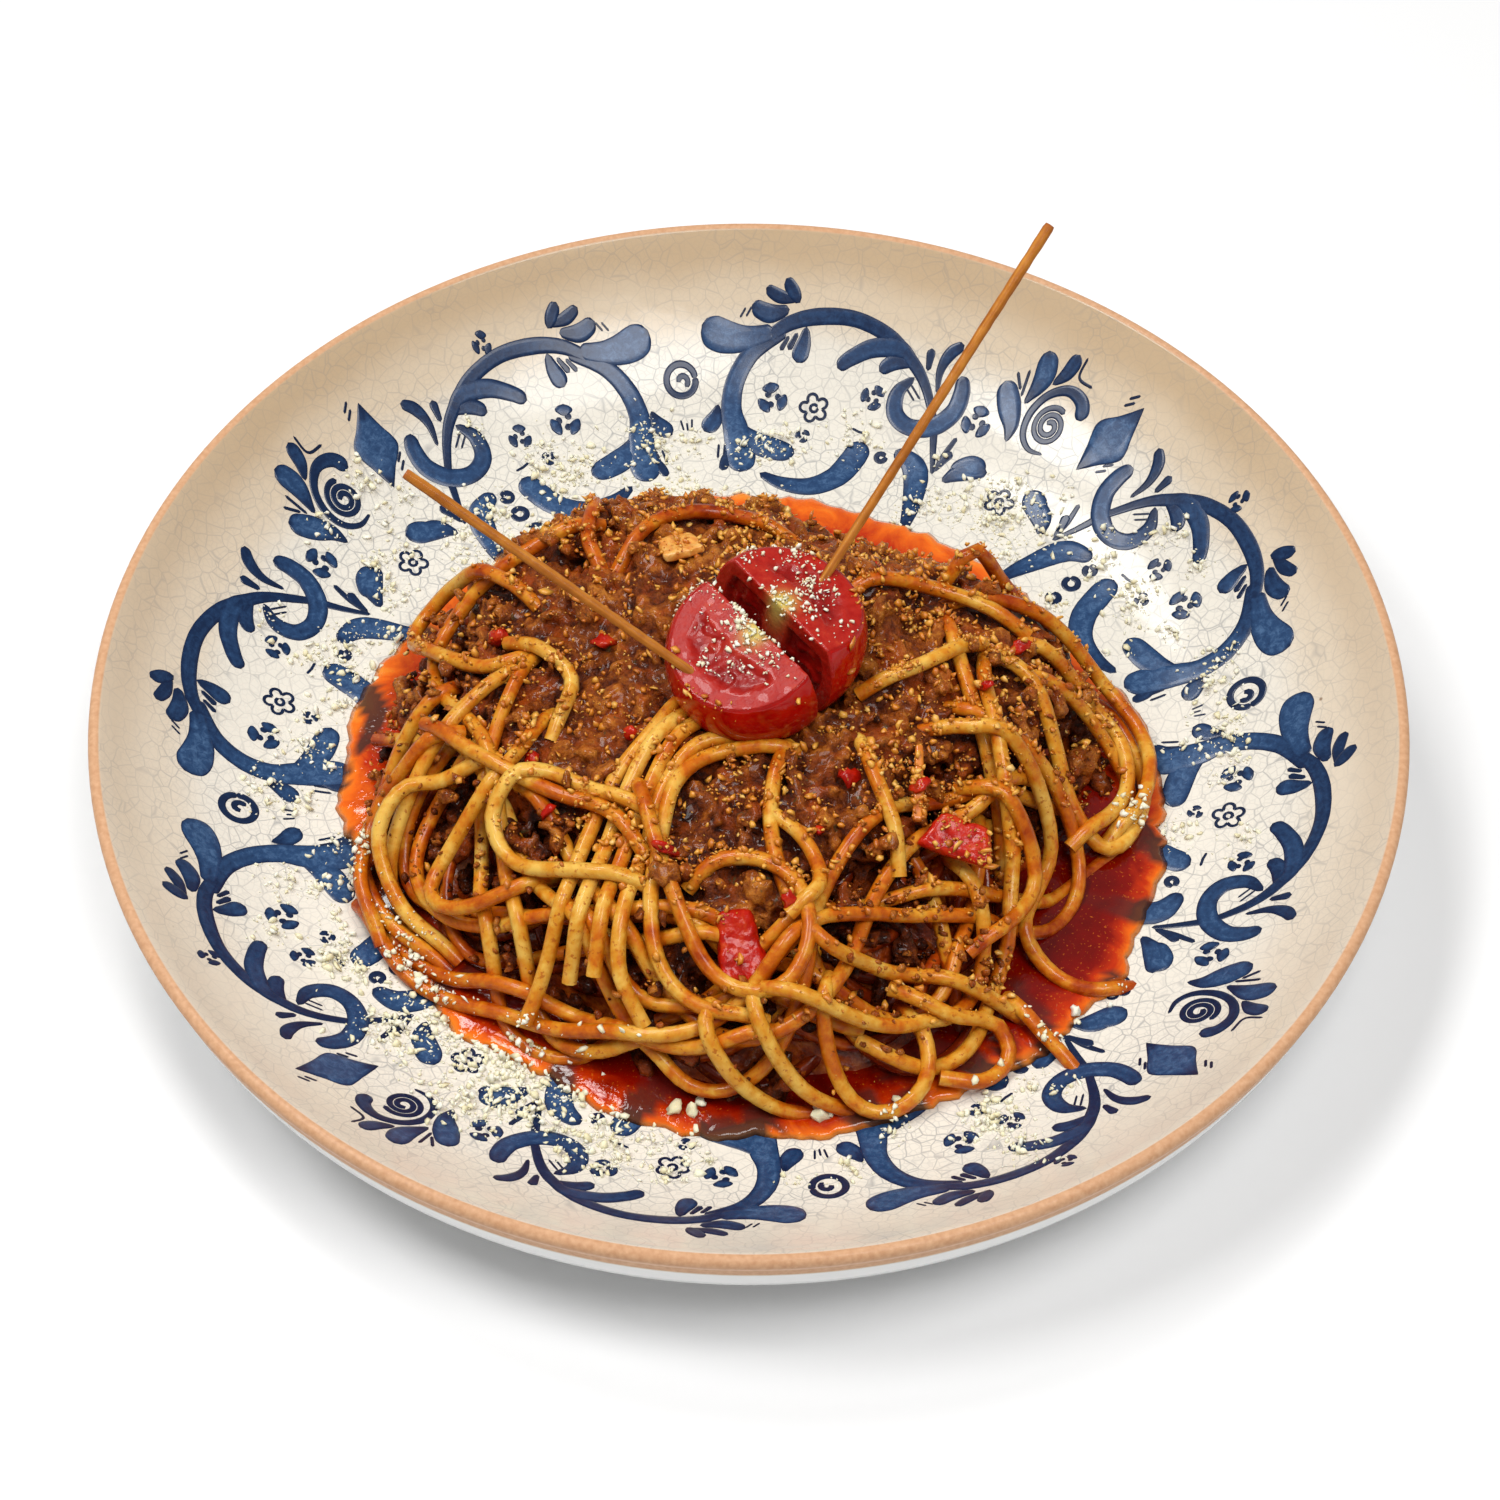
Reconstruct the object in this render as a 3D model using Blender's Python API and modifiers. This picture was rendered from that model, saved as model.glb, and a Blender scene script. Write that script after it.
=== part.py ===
"""Spaghetti bolognese served on its deep stoneware plate.

The plate stands on its foot ring, with the origin at the middle of the ring on the table,
+Z up and -Y towards the guest.  A shallow pool of sauce lies in the well, a coiled heap of
spaghetti stands in it, and the meat sauce covers the top of the heap.  A small tomato half,
slit and opened into two wedges, sits on top with a thin stick in each wedge.  Two tomato
dice and a flake of cheese lie on the food.  Lengths are in metres.
"""
import math

import bmesh
import bpy
from mathutils import Matrix, Vector, noise

GAP = 0.0003                    # clearance between pieces that touch

# plate
PLATE_RADIUS = 0.135
PLATE_HEIGHT = 0.0345
WELL_HEIGHT = 0.0065            # top of the flat middle above the table
WELL_RADIUS = 0.083             # where the flat middle starts to rise
LIP_RADIUS = 0.0015             # rounding of the rim
LIP_CENTRE = (PLATE_RADIUS - LIP_RADIUS, PLATE_HEIGHT - LIP_RADIUS)
WALL_END = 0.1324               # where the rising inside meets the lip
LIP_SHARE = 0.7                 # share of the lip's radius at which they meet
WALL_RISE = (LIP_CENTRE[1] + LIP_SHARE * LIP_RADIUS - WELL_HEIGHT) / (WALL_END - WELL_RADIUS) ** 2
WALL_SLOPE = math.radians(76)   # outside of the wall below the lip
WALL_STRAIGHT = 0.009           # length of that straight stretch
BELLY_START = 0.0882            # where the outside curve leaves the flat underside
BELLY_TURN = math.radians(80.5)  # part of an ellipse that the outside curve takes
UNDERSIDE = 0.0018              # height of the underside above the table
FOOT_INNER = 0.057
FOOT_OUTER = 0.062
FOOT_SPREAD = 0.0015            # how much wider each side of the foot ring is at its root
TURN_STEPS = 52

# food: every round layer shares one middle
FOOD_MIDDLE = (0.0, -0.006)
SEGMENTS = 64
POOL_MEAN = 0.0853
POOL_WAVES = ((1, 0.0016, -67), (2, 0.0028, -32), (4, 0.0007, -4))
POOL_DEPTH = 0.0020
POOL_RINGS = 10
HEAP_MEAN = 0.0800
HEAP_WAVES = ((1, 0.0019, -134), (2, 0.0033, -22), (3, 0.0021, 31), (4, 0.0023, 14), (5, 0.0007, -18))
BAY_ANGLE = math.radians(-22)   # bay in the heap where the pool shows
BAY_WIDTH = math.radians(11)
BAY_DEPTH = 0.017
HEAP_FOOT = WELL_HEIGHT + POOL_DEPTH + 2 * GAP
HEAP_HEIGHT = 0.0270
HEAP_ROUNDING = (2.6, 0.72)
HUMPS = ((-0.030, 0.044, 0.017, 0.0050), (0.004, 0.012, 0.024, 0.0045), (0.040, -0.008, 0.022, 0.0020))
COILS = 11                      # broad ridges of wound strands round the heap
COIL_DEPTH = 0.0007
HEAP_RINGS = 32
RAGU_GAP = 0.0023               # clearance over the faceted heap
RAGU_THICKNESS = 0.0032
RAGU_LUMP = 0.0011              # height of its lumps
RAGU_LUMPS_PER_METRE = 130
RAGU_EDGE = 0.0004              # thickness left at its edge
RAGU_RINGS = 24
RAGU_REACH = 0.72               # share of the heap's radius that the meat sauce covers
RAGU_LOBES = ((1, 0.17, 85), (2, 0.07, 60), (3, 0.05, 20), (5, 0.03, 40))

# tomato: two wedges of a ball, each cut level by one face and upright by the slit
TOMATO_RADIUS = 0.0179
TOMATO_DENT = 0.0190            # radius of the hollow that it presses into the food
DENT_RAGU = 0.0015              # meat sauce left under it
SLIT_DIRECTION = math.radians(132)
SLIT_LEAN = math.radians(6.2)
WEDGE_FRONT = Vector((0.0008, -0.0046, 0.0500))
WEDGE_BACK = Vector((0.0060, 0.0014, 0.0500))
FACE_FRONT = (236.5, 19.7, 0.0091)      # facing azimuth, tilt, height over the ball's middle
FACE_BACK = (21.7, 16.0, 0.0100)
SLIT_FRONT = Vector((0.0016, -0.0048, 0.0598))
SLIT_BACK = Vector((0.0060, 0.0002, 0.0605))
FLESH_WALL = 0.0028
LOCULE_DEPTH = 0.0010

# sticks
STICK_LEFT = (Vector((-0.0126, -0.0117, 0.0549)), Vector((-0.0680, 0.0137, 0.0840)))
STICK_RIGHT = (Vector((0.0158, 0.0117, 0.0571)), Vector((0.0604, 0.0695, 0.0980)))
STICK_TIP_RADIUS = 0.00115
STICK_ROOT_RADIUS = 0.00095
STICK_SUNK = 0.0055
BORE_ABOVE = 0.006              # how far its bore runs on above the cut face

# toppings: middle, size, turn about Z, lean about X
DICE_FRONT = (Vector((-0.0014, -0.0630, 0.0300)), (0.0105, 0.0150, 0.0050), 12, 30)
DICE_RIGHT = (Vector((0.0420, -0.0385, 0.0345)), (0.0165, 0.0080, 0.0045), -22, 24)
FLAKE = (Vector((-0.0146, 0.0297, 0.0435)), (0.0090, 0.0078, 0.0026), 20, -24)
POCKET_MARGIN = 0.0006
POCKET_ABOVE = 0.006            # how far a pocket runs on above its topping

PLATE_COLOUR = (0.80, 0.77, 0.70)
SAUCE_COLOUR = (0.55, 0.07, 0.01)
PASTA_COLOUR = (0.72, 0.45, 0.14)
RAGU_COLOUR = (0.30, 0.09, 0.03)
TOMATO_COLOUR = (0.60, 0.01, 0.01)
WOOD_COLOUR = (0.45, 0.16, 0.04)
CHEESE_COLOUR = (0.85, 0.50, 0.14)


def clear_scene():
    """Remove every object of the opened file."""
    for item in list(bpy.data.objects):
        bpy.data.objects.remove(item, do_unlink=True)


def make_collection(name):
    """A collection linked to the scene."""
    group = bpy.data.collections.new(name)
    bpy.context.scene.collection.children.link(group)
    return group


def make_material(name, colour, roughness):
    """A plain Principled material."""
    material = bpy.data.materials.new(name)
    material.use_nodes = True
    shader = material.node_tree.nodes["Principled BSDF"]
    shader.inputs["Base Color"].default_value = (*colour, 1.0)
    shader.inputs["Roughness"].default_value = roughness
    return material


def add_object(name, data, material, group):
    """Link an object for the given mesh or curve."""
    item = bpy.data.objects.new(name, data)
    item.data.materials.append(material)
    group.objects.link(item)
    return item


def mesh_from(builder, name, smooth=True):
    """Turn a bmesh into a mesh and free it."""
    bmesh.ops.recalc_face_normals(builder, faces=builder.faces)
    mesh = bpy.data.meshes.new(name)
    builder.to_mesh(mesh)
    builder.free()
    if smooth:
        mesh.shade_smooth()
        mesh.set_sharp_from_angle(angle=math.radians(40))
    return mesh


# ---------------------------------------------------------------- plate

def well_surface(radius):
    """Height of the plate's upper surface at a distance from its axis."""
    return WELL_HEIGHT + WALL_RISE * max(radius - WELL_RADIUS, 0.0) ** 2


def plate_profile():
    """Half section of the plate: over the inside, round the lip, down the outside."""
    points = [(0.0, WELL_HEIGHT), (0.045, WELL_HEIGHT)]
    rising = 7
    for step in range(rising + 1):
        radius = WELL_RADIUS + (WALL_END - WELL_RADIUS) * step / rising
        points.append((radius, well_surface(radius)))
    for degrees in (110, 75, 40, 5):
        angle = math.radians(degrees)
        points.append((LIP_CENTRE[0] + LIP_RADIUS * math.cos(angle),
                       LIP_CENTRE[1] + LIP_RADIUS * math.sin(angle)))
    top = (LIP_CENTRE[0] + LIP_RADIUS * math.sin(WALL_SLOPE),
           LIP_CENTRE[1] - LIP_RADIUS * math.cos(WALL_SLOPE))
    knee = (top[0] - WALL_STRAIGHT * math.cos(WALL_SLOPE), top[1] - WALL_STRAIGHT * math.sin(WALL_SLOPE))
    points.append(top)
    # quarter of an ellipse from the straight wall in to the underside
    height = (knee[1] - UNDERSIDE) / (1 - math.cos(BELLY_TURN))
    width = (knee[0] - BELLY_START) / math.sin(BELLY_TURN)
    arcs = 7
    for step in range(arcs + 1):
        angle = BELLY_TURN * (1 - step / arcs)
        points.append((BELLY_START + width * math.sin(angle),
                       UNDERSIDE + height * (1 - math.cos(angle))))
    points += [(FOOT_OUTER + FOOT_SPREAD, UNDERSIDE), (FOOT_OUTER, 0.0), (FOOT_INNER, 0.0),
               (FOOT_INNER - FOOT_SPREAD, UNDERSIDE), (0.0, UNDERSIDE)]
    return points


def make_plate(group):
    """The turned plate."""
    builder = bmesh.new()
    verts = [builder.verts.new((radius, 0.0, height)) for radius, height in plate_profile()]
    for first, second in zip(verts, verts[1:]):
        builder.edges.new((first, second))
    mesh = bpy.data.meshes.new("plate")
    builder.to_mesh(mesh)
    builder.free()
    plate = add_object("plate", mesh, make_material("glazed stoneware", PLATE_COLOUR, 0.2), group)
    screw = plate.modifiers.new("turning", "SCREW")
    screw.axis = "Z"
    screw.steps = TURN_STEPS
    screw.render_steps = TURN_STEPS
    screw.use_merge_vertices = True
    screw.merge_threshold = 0.0001
    return plate


# ---------------------------------------------------------------- round layers of food

def wavy_radius(angle, mean, waves):
    """Radius of a lobed outline: a mean and a few waves round the circle."""
    return mean + sum(size * math.cos(count * (angle - math.radians(phase)))
                      for count, size, phase in waves)


def pool_outline(angle):
    return wavy_radius(angle, POOL_MEAN, POOL_WAVES)


def heap_outline(angle):
    """Outline of the spaghetti, with the bay where the pool shows."""
    bay = BAY_DEPTH * math.exp(-((angle - BAY_ANGLE + math.pi) % math.tau - math.pi) ** 2
                               / (2 * BAY_WIDTH ** 2))
    return wavy_radius(angle, HEAP_MEAN, HEAP_WAVES) - bay


def ragu_outline(angle):
    """The meat sauce reaches the heap's edge at the back and stops short elsewhere."""
    share = RAGU_REACH + sum(size * math.cos(count * (angle - math.radians(phase)))
                             for count, size, phase in RAGU_LOBES)
    return min(share, 0.96) * heap_outline(angle)


def tomato_hollow(x, y):
    """Height of the lowest tomato surface over a point, with room round it."""
    lowest = math.inf
    for middle in (WEDGE_FRONT, WEDGE_BACK):
        away = (x - middle.x) ** 2 + (y - middle.y) ** 2
        if away < TOMATO_DENT ** 2:
            lowest = min(lowest, middle.z - math.sqrt(TOMATO_DENT ** 2 - away))
    return lowest


def heap_surface(x, y):
    """Top of the spaghetti: a flattened dome with humps and broad coiled ridges."""
    angle = math.atan2(y - FOOD_MIDDLE[1], x - FOOD_MIDDLE[0])
    share = math.hypot(x - FOOD_MIDDLE[0], y - FOOD_MIDDLE[1]) / heap_outline(angle)
    inside = max(1 - share ** HEAP_ROUNDING[0], 0.0)
    height = HEAP_FOOT + HEAP_HEIGHT * inside ** HEAP_ROUNDING[1]
    for middle_x, middle_y, width, rise in HUMPS:
        away = (x - middle_x) ** 2 + (y - middle_y) ** 2
        height += rise * math.exp(-away / (2 * width ** 2)) * min(2 * inside, 1)
    height += COIL_DEPTH * math.cos(COILS * angle + 9 * share) * min(4 * inside, 1) * min(2 * share, 1)
    return min(height, tomato_hollow(x, y) - DENT_RAGU - RAGU_GAP - GAP)


def ragu_underside(x, y):
    return heap_surface(x, y) + RAGU_GAP


def ragu_top(x, y):
    """Lumpy top of the meat sauce, thinning to its edge."""
    angle = math.atan2(y - FOOD_MIDDLE[1], x - FOOD_MIDDLE[0])
    share = math.hypot(x - FOOD_MIDDLE[0], y - FOOD_MIDDLE[1]) / ragu_outline(angle)
    inside = max(1 - share ** 3, 0.0) ** 0.5
    lump = noise.noise(Vector((x, y, 0.0)) * RAGU_LUMPS_PER_METRE) * RAGU_LUMP
    height = ragu_underside(x, y) + RAGU_EDGE + (RAGU_THICKNESS + lump) * inside
    return min(height, tomato_hollow(x, y))


def layer_mesh(name, rings, outline, top, bottom):
    """A ball whose upper half becomes the top of a layer and whose lower half its underside."""
    builder = bmesh.new()
    bmesh.ops.create_uvsphere(builder, u_segments=SEGMENTS, v_segments=rings, radius=1.0)
    for vert in builder.verts:
        polar = math.acos(max(-1.0, min(1.0, vert.co.z)))
        share = 2 * min(polar, math.pi - polar) / math.pi
        angle = math.atan2(vert.co.y, vert.co.x)
        reach = share * outline(angle) if share > 1e-6 else 0.0
        x = FOOD_MIDDLE[0] + reach * math.cos(angle)
        y = FOOD_MIDDLE[1] + reach * math.sin(angle)
        surface = bottom if polar > math.pi / 2 + 1e-4 else top
        vert.co = (x, y, surface(x, y))
    return mesh_from(builder, name)


def make_pool(group):
    """The shallow pool of sauce and oil."""
    def floor(x, y):
        return well_surface(math.hypot(x, y)) + GAP

    def level(x, y):
        angle = math.atan2(y - FOOD_MIDDLE[1], x - FOOD_MIDDLE[0])
        share = math.hypot(x - FOOD_MIDDLE[0], y - FOOD_MIDDLE[1]) / pool_outline(angle)
        depth = (POOL_DEPTH - GAP) * max(1 - share ** 8, 0.0) ** 0.5
        return floor(x, y) + max(depth, 0.0002)

    mesh = layer_mesh("sauce_pool", POOL_RINGS, pool_outline, level, floor)
    add_object("sauce_pool", mesh, make_material("red oily sauce", SAUCE_COLOUR, 0.1), group)


def make_spaghetti(group):
    """The heap of spaghetti as one solid out to its uneven outline."""
    def floor(x, y):
        return well_surface(math.hypot(x, y)) + POOL_DEPTH + GAP

    mesh = layer_mesh("spaghetti", HEAP_RINGS, heap_outline, heap_surface, floor)
    return add_object("spaghetti", mesh, make_material("boiled pasta", PASTA_COLOUR, 0.4), group)


def make_ragu(group):
    """The layer of meat sauce over the heap."""
    mesh = layer_mesh("ragu", RAGU_RINGS, ragu_outline, ragu_top, ragu_underside)
    return add_object("ragu", mesh, make_material("meat sauce", RAGU_COLOUR, 0.45), group)


# ---------------------------------------------------------------- tomato wedges and sticks

def direction(azimuth, tilt):
    """Unit vector leaning by the tilt from straight up towards the azimuth."""
    azimuth, tilt = math.radians(azimuth), math.radians(tilt)
    return Vector((math.sin(tilt) * math.cos(azimuth), math.sin(tilt) * math.sin(azimuth),
                   math.cos(tilt)))


def cut_and_fill(builder, point, normal):
    """Cut away what lies beyond a plane and close the hole with one face."""
    geometry = builder.verts[:] + builder.edges[:] + builder.faces[:]
    result = bmesh.ops.bisect_plane(builder, geom=geometry, plane_co=point, plane_no=normal,
                                    clear_outer=True, dist=1e-7)
    rim = [part for part in result["geom_cut"] if isinstance(part, bmesh.types.BMEdge)]
    bmesh.ops.contextual_create(builder, geom=rim)


def make_wedge(name, middle, face, slit_point, slit_normal, group):
    """One wedge: a ball cut by its level face and by the slit, its seed chamber sunk."""
    azimuth, tilt, offset = face
    up = direction(azimuth, tilt)
    builder = bmesh.new()
    bmesh.ops.create_uvsphere(builder, u_segments=28, v_segments=16, radius=TOMATO_RADIUS,
                              matrix=Matrix.Translation(middle))
    cut_and_fill(builder, middle + up * offset, up)
    cut_and_fill(builder, slit_point, slit_normal)
    builder.faces.ensure_lookup_table()
    bmesh.ops.recalc_face_normals(builder, faces=builder.faces)
    level_face = max(builder.faces, key=lambda one: one.normal.dot(up) * one.calc_area())
    bmesh.ops.inset_region(builder, faces=[level_face], thickness=FLESH_WALL, depth=0.0)
    bmesh.ops.inset_region(builder, faces=[level_face], thickness=LOCULE_DEPTH, depth=-LOCULE_DEPTH)
    return add_object(name, mesh_from(builder, name), make_material(name, TOMATO_COLOUR, 0.2), group)


def make_tomato(group):
    """Both wedges, with the slit between them opening upwards."""
    across = Vector((math.sin(SLIT_DIRECTION), -math.cos(SLIT_DIRECTION), 0.0))
    lean = math.sin(SLIT_LEAN)
    front_out = (across * math.cos(SLIT_LEAN) + Vector((0, 0, lean))).normalized()
    back_out = (-across * math.cos(SLIT_LEAN) + Vector((0, 0, lean))).normalized()
    front = make_wedge("tomato_wedge_front", WEDGE_FRONT, FACE_FRONT, SLIT_FRONT, front_out, group)
    back = make_wedge("tomato_wedge_back", WEDGE_BACK, FACE_BACK, SLIT_BACK, back_out, group)
    return front, back


def stick_curve(name, root, tip, root_radius, tip_radius):
    """A straight tapered rod with closed ends."""
    curve = bpy.data.curves.new(name, "CURVE")
    curve.dimensions = "3D"
    curve.bevel_depth = 1.0
    curve.bevel_resolution = 3
    curve.use_fill_caps = True
    spline = curve.splines.new("POLY")
    spline.points.add(1)
    for point, place, radius in zip(spline.points, (root, tip), (root_radius, tip_radius)):
        point.co = (*place, 1.0)
        point.radius = radius
    return curve


def as_closed_mesh(name, curve, material, group):
    """Turn a rod into a mesh object with its caps welded on."""
    guide = bpy.data.objects.new(name + "_guide", curve)
    group.objects.link(guide)
    evaluated = guide.evaluated_get(bpy.context.evaluated_depsgraph_get())
    mesh = bpy.data.meshes.new_from_object(evaluated)
    builder = bmesh.new()
    builder.from_mesh(mesh)
    bmesh.ops.remove_doubles(builder, verts=builder.verts, dist=1e-6)
    bmesh.ops.recalc_face_normals(builder, faces=builder.faces)
    builder.to_mesh(mesh)
    builder.free()
    mesh.materials.clear()
    item = add_object(name, mesh, material, group)
    bpy.data.objects.remove(guide, do_unlink=True)
    return item


def drive_stick(name, ends, wedge, wood, group, cutters):
    """A stick pushed into its wedge, in a bore with clearance."""
    entry, tip = ends
    along = (tip - entry).normalized()
    root = entry - along * STICK_SUNK
    curve = stick_curve(name, root, tip, STICK_ROOT_RADIUS, STICK_TIP_RADIUS)
    as_closed_mesh(name, curve, wood, group)
    bore = STICK_ROOT_RADIUS + 2 * GAP
    cutter_curve = stick_curve(name + "_bore", root - along * GAP * 2, entry + along * BORE_ABOVE, bore, bore)
    cutter = as_closed_mesh(name + "_bore", cutter_curve, wood, cutters)
    cut(wedge, cutter)


# ---------------------------------------------------------------- toppings

def cut(target, cutter):
    """Take a cutter's space out of a target."""
    cutter.hide_render = True
    cutter.display_type = "WIRE"
    boolean = target.modifiers.new(cutter.name, "BOOLEAN")
    boolean.operation = "DIFFERENCE"
    boolean.object = cutter


def make_block(name, topping, taper, material, group):
    """A hand-cut block: a box with one end drawn in and its edges rounded."""
    size = topping[1]
    builder = bmesh.new()
    bmesh.ops.create_cube(builder, size=1.0)
    for vert in builder.verts:
        if vert.co.y > 0:
            vert.co.x *= taper
        if vert.co.x > 0:
            vert.co.z *= 0.8
    bmesh.ops.scale(builder, vec=size, verts=builder.verts)
    bmesh.ops.bevel(builder, geom=builder.edges, offset=min(size) * 0.22, segments=2, profile=0.5,
                    affect="EDGES", material=-1)
    place(builder, topping)
    return add_object(name, mesh_from(builder, name), material, group)


def place(builder, topping):
    """Turn and move a topping to its place."""
    middle, _, turn, lean = topping
    matrix = (Matrix.Translation(middle) @ Matrix.Rotation(math.radians(turn), 4, "Z")
              @ Matrix.Rotation(math.radians(lean), 4, "X"))
    bmesh.ops.transform(builder, matrix=matrix, verts=builder.verts)


def make_pocket(name, topping, material, cutters):
    """The pocket that a topping has pressed: its box with a margin, open upwards."""
    size = topping[1]
    builder = bmesh.new()
    bmesh.ops.create_cube(builder, size=1.0)
    bmesh.ops.scale(builder, verts=builder.verts,
                    vec=(size[0] + 2 * POCKET_MARGIN, size[1] + 2 * POCKET_MARGIN,
                         size[2] + 2 * POCKET_MARGIN + POCKET_ABOVE))
    bmesh.ops.translate(builder, verts=builder.verts, vec=(0, 0, POCKET_ABOVE / 2))
    place(builder, topping)
    return add_object(name, mesh_from(builder, name, smooth=False), material, cutters)


def make_toppings(spaghetti, ragu, group, cutters):
    """Tomato dice and the flake of cheese, each in its pocket."""
    flesh = make_material("diced tomato", TOMATO_COLOUR, 0.25)
    cheese = make_material("browned cheese", CHEESE_COLOUR, 0.5)
    for name, topping, taper, material, hosts in (
            ("tomato_dice_front", DICE_FRONT, 0.72, flesh, (spaghetti, ragu)),
            ("tomato_dice_right", DICE_RIGHT, 0.60, flesh, (spaghetti, ragu)),
            ("cheese_flake", FLAKE, 0.80, cheese, (ragu,))):
        make_block(name, topping, taper, material, group)
        pocket = make_pocket(name + "_pocket", topping, material, cutters)
        for host in hosts:
            cut(host, pocket)


clear_scene()
dish = make_collection("spaghetti_bolognese")
tools = make_collection("cutters")
make_plate(dish)
make_pool(dish)
heap = make_spaghetti(dish)
meat = make_ragu(dish)
wedge_front, wedge_back = make_tomato(dish)
wood_material = make_material("stick wood", WOOD_COLOUR, 0.6)
drive_stick("stick_left", STICK_LEFT, wedge_front, wood_material, dish, tools)
drive_stick("stick_right", STICK_RIGHT, wedge_back, wood_material, dish, tools)
make_toppings(heap, meat, dish, tools)
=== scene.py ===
"""Spaghetti bolognese on its deep stoneware plate, built up from the plate to the garnish."""
import math
import random

import bmesh
import bpy
import numpy as np
from mathutils import Matrix, Vector, noise
from mathutils.kdtree import KDTree


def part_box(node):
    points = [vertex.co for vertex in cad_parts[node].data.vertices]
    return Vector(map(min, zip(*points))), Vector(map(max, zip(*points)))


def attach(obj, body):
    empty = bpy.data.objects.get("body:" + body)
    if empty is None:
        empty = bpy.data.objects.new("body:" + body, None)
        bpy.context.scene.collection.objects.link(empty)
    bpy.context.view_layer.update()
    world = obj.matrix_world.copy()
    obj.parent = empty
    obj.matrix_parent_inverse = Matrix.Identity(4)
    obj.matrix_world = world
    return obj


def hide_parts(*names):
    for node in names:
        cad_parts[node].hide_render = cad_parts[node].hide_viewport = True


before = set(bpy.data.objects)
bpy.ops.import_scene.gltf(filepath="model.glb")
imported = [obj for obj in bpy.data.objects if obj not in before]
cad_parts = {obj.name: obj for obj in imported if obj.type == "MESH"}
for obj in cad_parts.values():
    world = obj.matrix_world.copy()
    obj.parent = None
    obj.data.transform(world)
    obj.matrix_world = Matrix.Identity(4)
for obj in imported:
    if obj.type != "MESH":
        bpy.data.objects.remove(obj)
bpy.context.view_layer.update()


# ---------------------------------------------------------------- the thrown plate
# A deep stoneware plate, thrown on a wheel: a flat well that rises in one sweep to a rounded
# rim, and a turned foot ring below. Cream crackle glaze, sprayed tan towards the rim, is
# wiped off the lip, so a band of bare terracotta shows, and the outside is glazed white.
PLATE_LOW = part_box("plate")[0]
PLATE_RADIUS = 0.135
PLATE_HEIGHT = 0.0345
WELL_HEIGHT = 0.0065
WELL_RADIUS = 0.083
LIP_RADIUS = 0.0015
WALL_END = 0.1324
LIP_CENTRE = (PLATE_RADIUS - LIP_RADIUS, PLATE_HEIGHT - LIP_RADIUS)
WALL_RISE = (LIP_CENTRE[1] + 0.7 * LIP_RADIUS - WELL_HEIGHT) / (WALL_END - WELL_RADIUS) ** 2
MM = 0.001


def well_surface(radius):
    """Height of the plate's inside at a distance from its middle; takes numbers or arrays."""
    return WELL_HEIGHT + WALL_RISE * np.maximum(radius - WELL_RADIUS, 0.0) ** 2


OUTER_SLOPE = math.radians(76)  # lean of the straight band below the lip, outside
OUTER_STRAIGHT = 0.009          # length of that band
BELLY_TURN = math.radians(80.5)  # turn of the curve between that band and the underside
BELLY_START = 0.0882            # radius where the underside begins to curve up
UNDERSIDE = 0.0018              # height of the underside over the foot
LIP_SHARE = 0.48                # share of the fade from tan to white that ends at the lip
FADE_DROP = 0.0085              # how far below the lip the fade ends


def plate_section():
    """Half section of the plate, over the inside, round the lip and down the outside."""
    inside = [(r, float(well_surface(r))) for r in np.concatenate((
        np.linspace(0.0, WELL_RADIUS, 14), np.linspace(WELL_RADIUS, WALL_END, 22)[1:]))]
    lip = [(LIP_CENTRE[0] + LIP_RADIUS * math.cos(a), LIP_CENTRE[1] + LIP_RADIUS * math.sin(a))
           for a in np.radians(np.arange(125, -25, -12))]
    knee = (lip[-1][0] - OUTER_STRAIGHT * math.cos(OUTER_SLOPE),
            lip[-1][1] - OUTER_STRAIGHT * math.sin(OUTER_SLOPE))
    height = (knee[1] - UNDERSIDE) / (1 - math.cos(BELLY_TURN))
    width = (knee[0] - BELLY_START) / math.sin(BELLY_TURN)
    outside = [(BELLY_START + width * math.sin(a), UNDERSIDE + height * (1 - math.cos(a)))
               for a in np.linspace(BELLY_TURN, 0, 22)]
    foot = [(0.0645, UNDERSIDE), (0.0628, 0.0013), (0.0620, 0.0002), (0.0612, 0.0), (0.0578, 0.0),
            (0.0570, 0.0002), (0.0562, 0.0013), (0.0545, UNDERSIDE), (0.0, UNDERSIDE)]
    return inside + lip + outside + foot


def tag(mesh, name, values):
    """Store one number for each point of a mesh, for its material to read."""
    layer = mesh.attributes.new(name, "FLOAT", "POINT")
    layer.data.foreach_set("value", np.asarray(values, dtype=np.float32))


def points_of(mesh):
    """All points of a mesh as an array of rows."""
    flat = np.empty(len(mesh.vertices) * 3, dtype=np.float32)
    mesh.vertices.foreach_get("co", flat)
    return flat.reshape(-1, 3).astype(float)


def set_points(mesh, places):
    """Move all points of a mesh."""
    mesh.vertices.foreach_set("co", np.asarray(places, dtype=np.float32).ravel())
    mesh.update()


def finish_piece(name, mesh, materials, replaces=(), smooth=True):
    """Link a finished mesh, give it its materials and fix it to the dish."""
    piece = bpy.data.objects.new(name, mesh)
    bpy.context.scene.collection.objects.link(piece)
    for material in materials:
        mesh.materials.append(material)
    if smooth:
        mesh.shade_smooth()
    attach(piece, "root")
    if replaces:
        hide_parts(*replaces)


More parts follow.
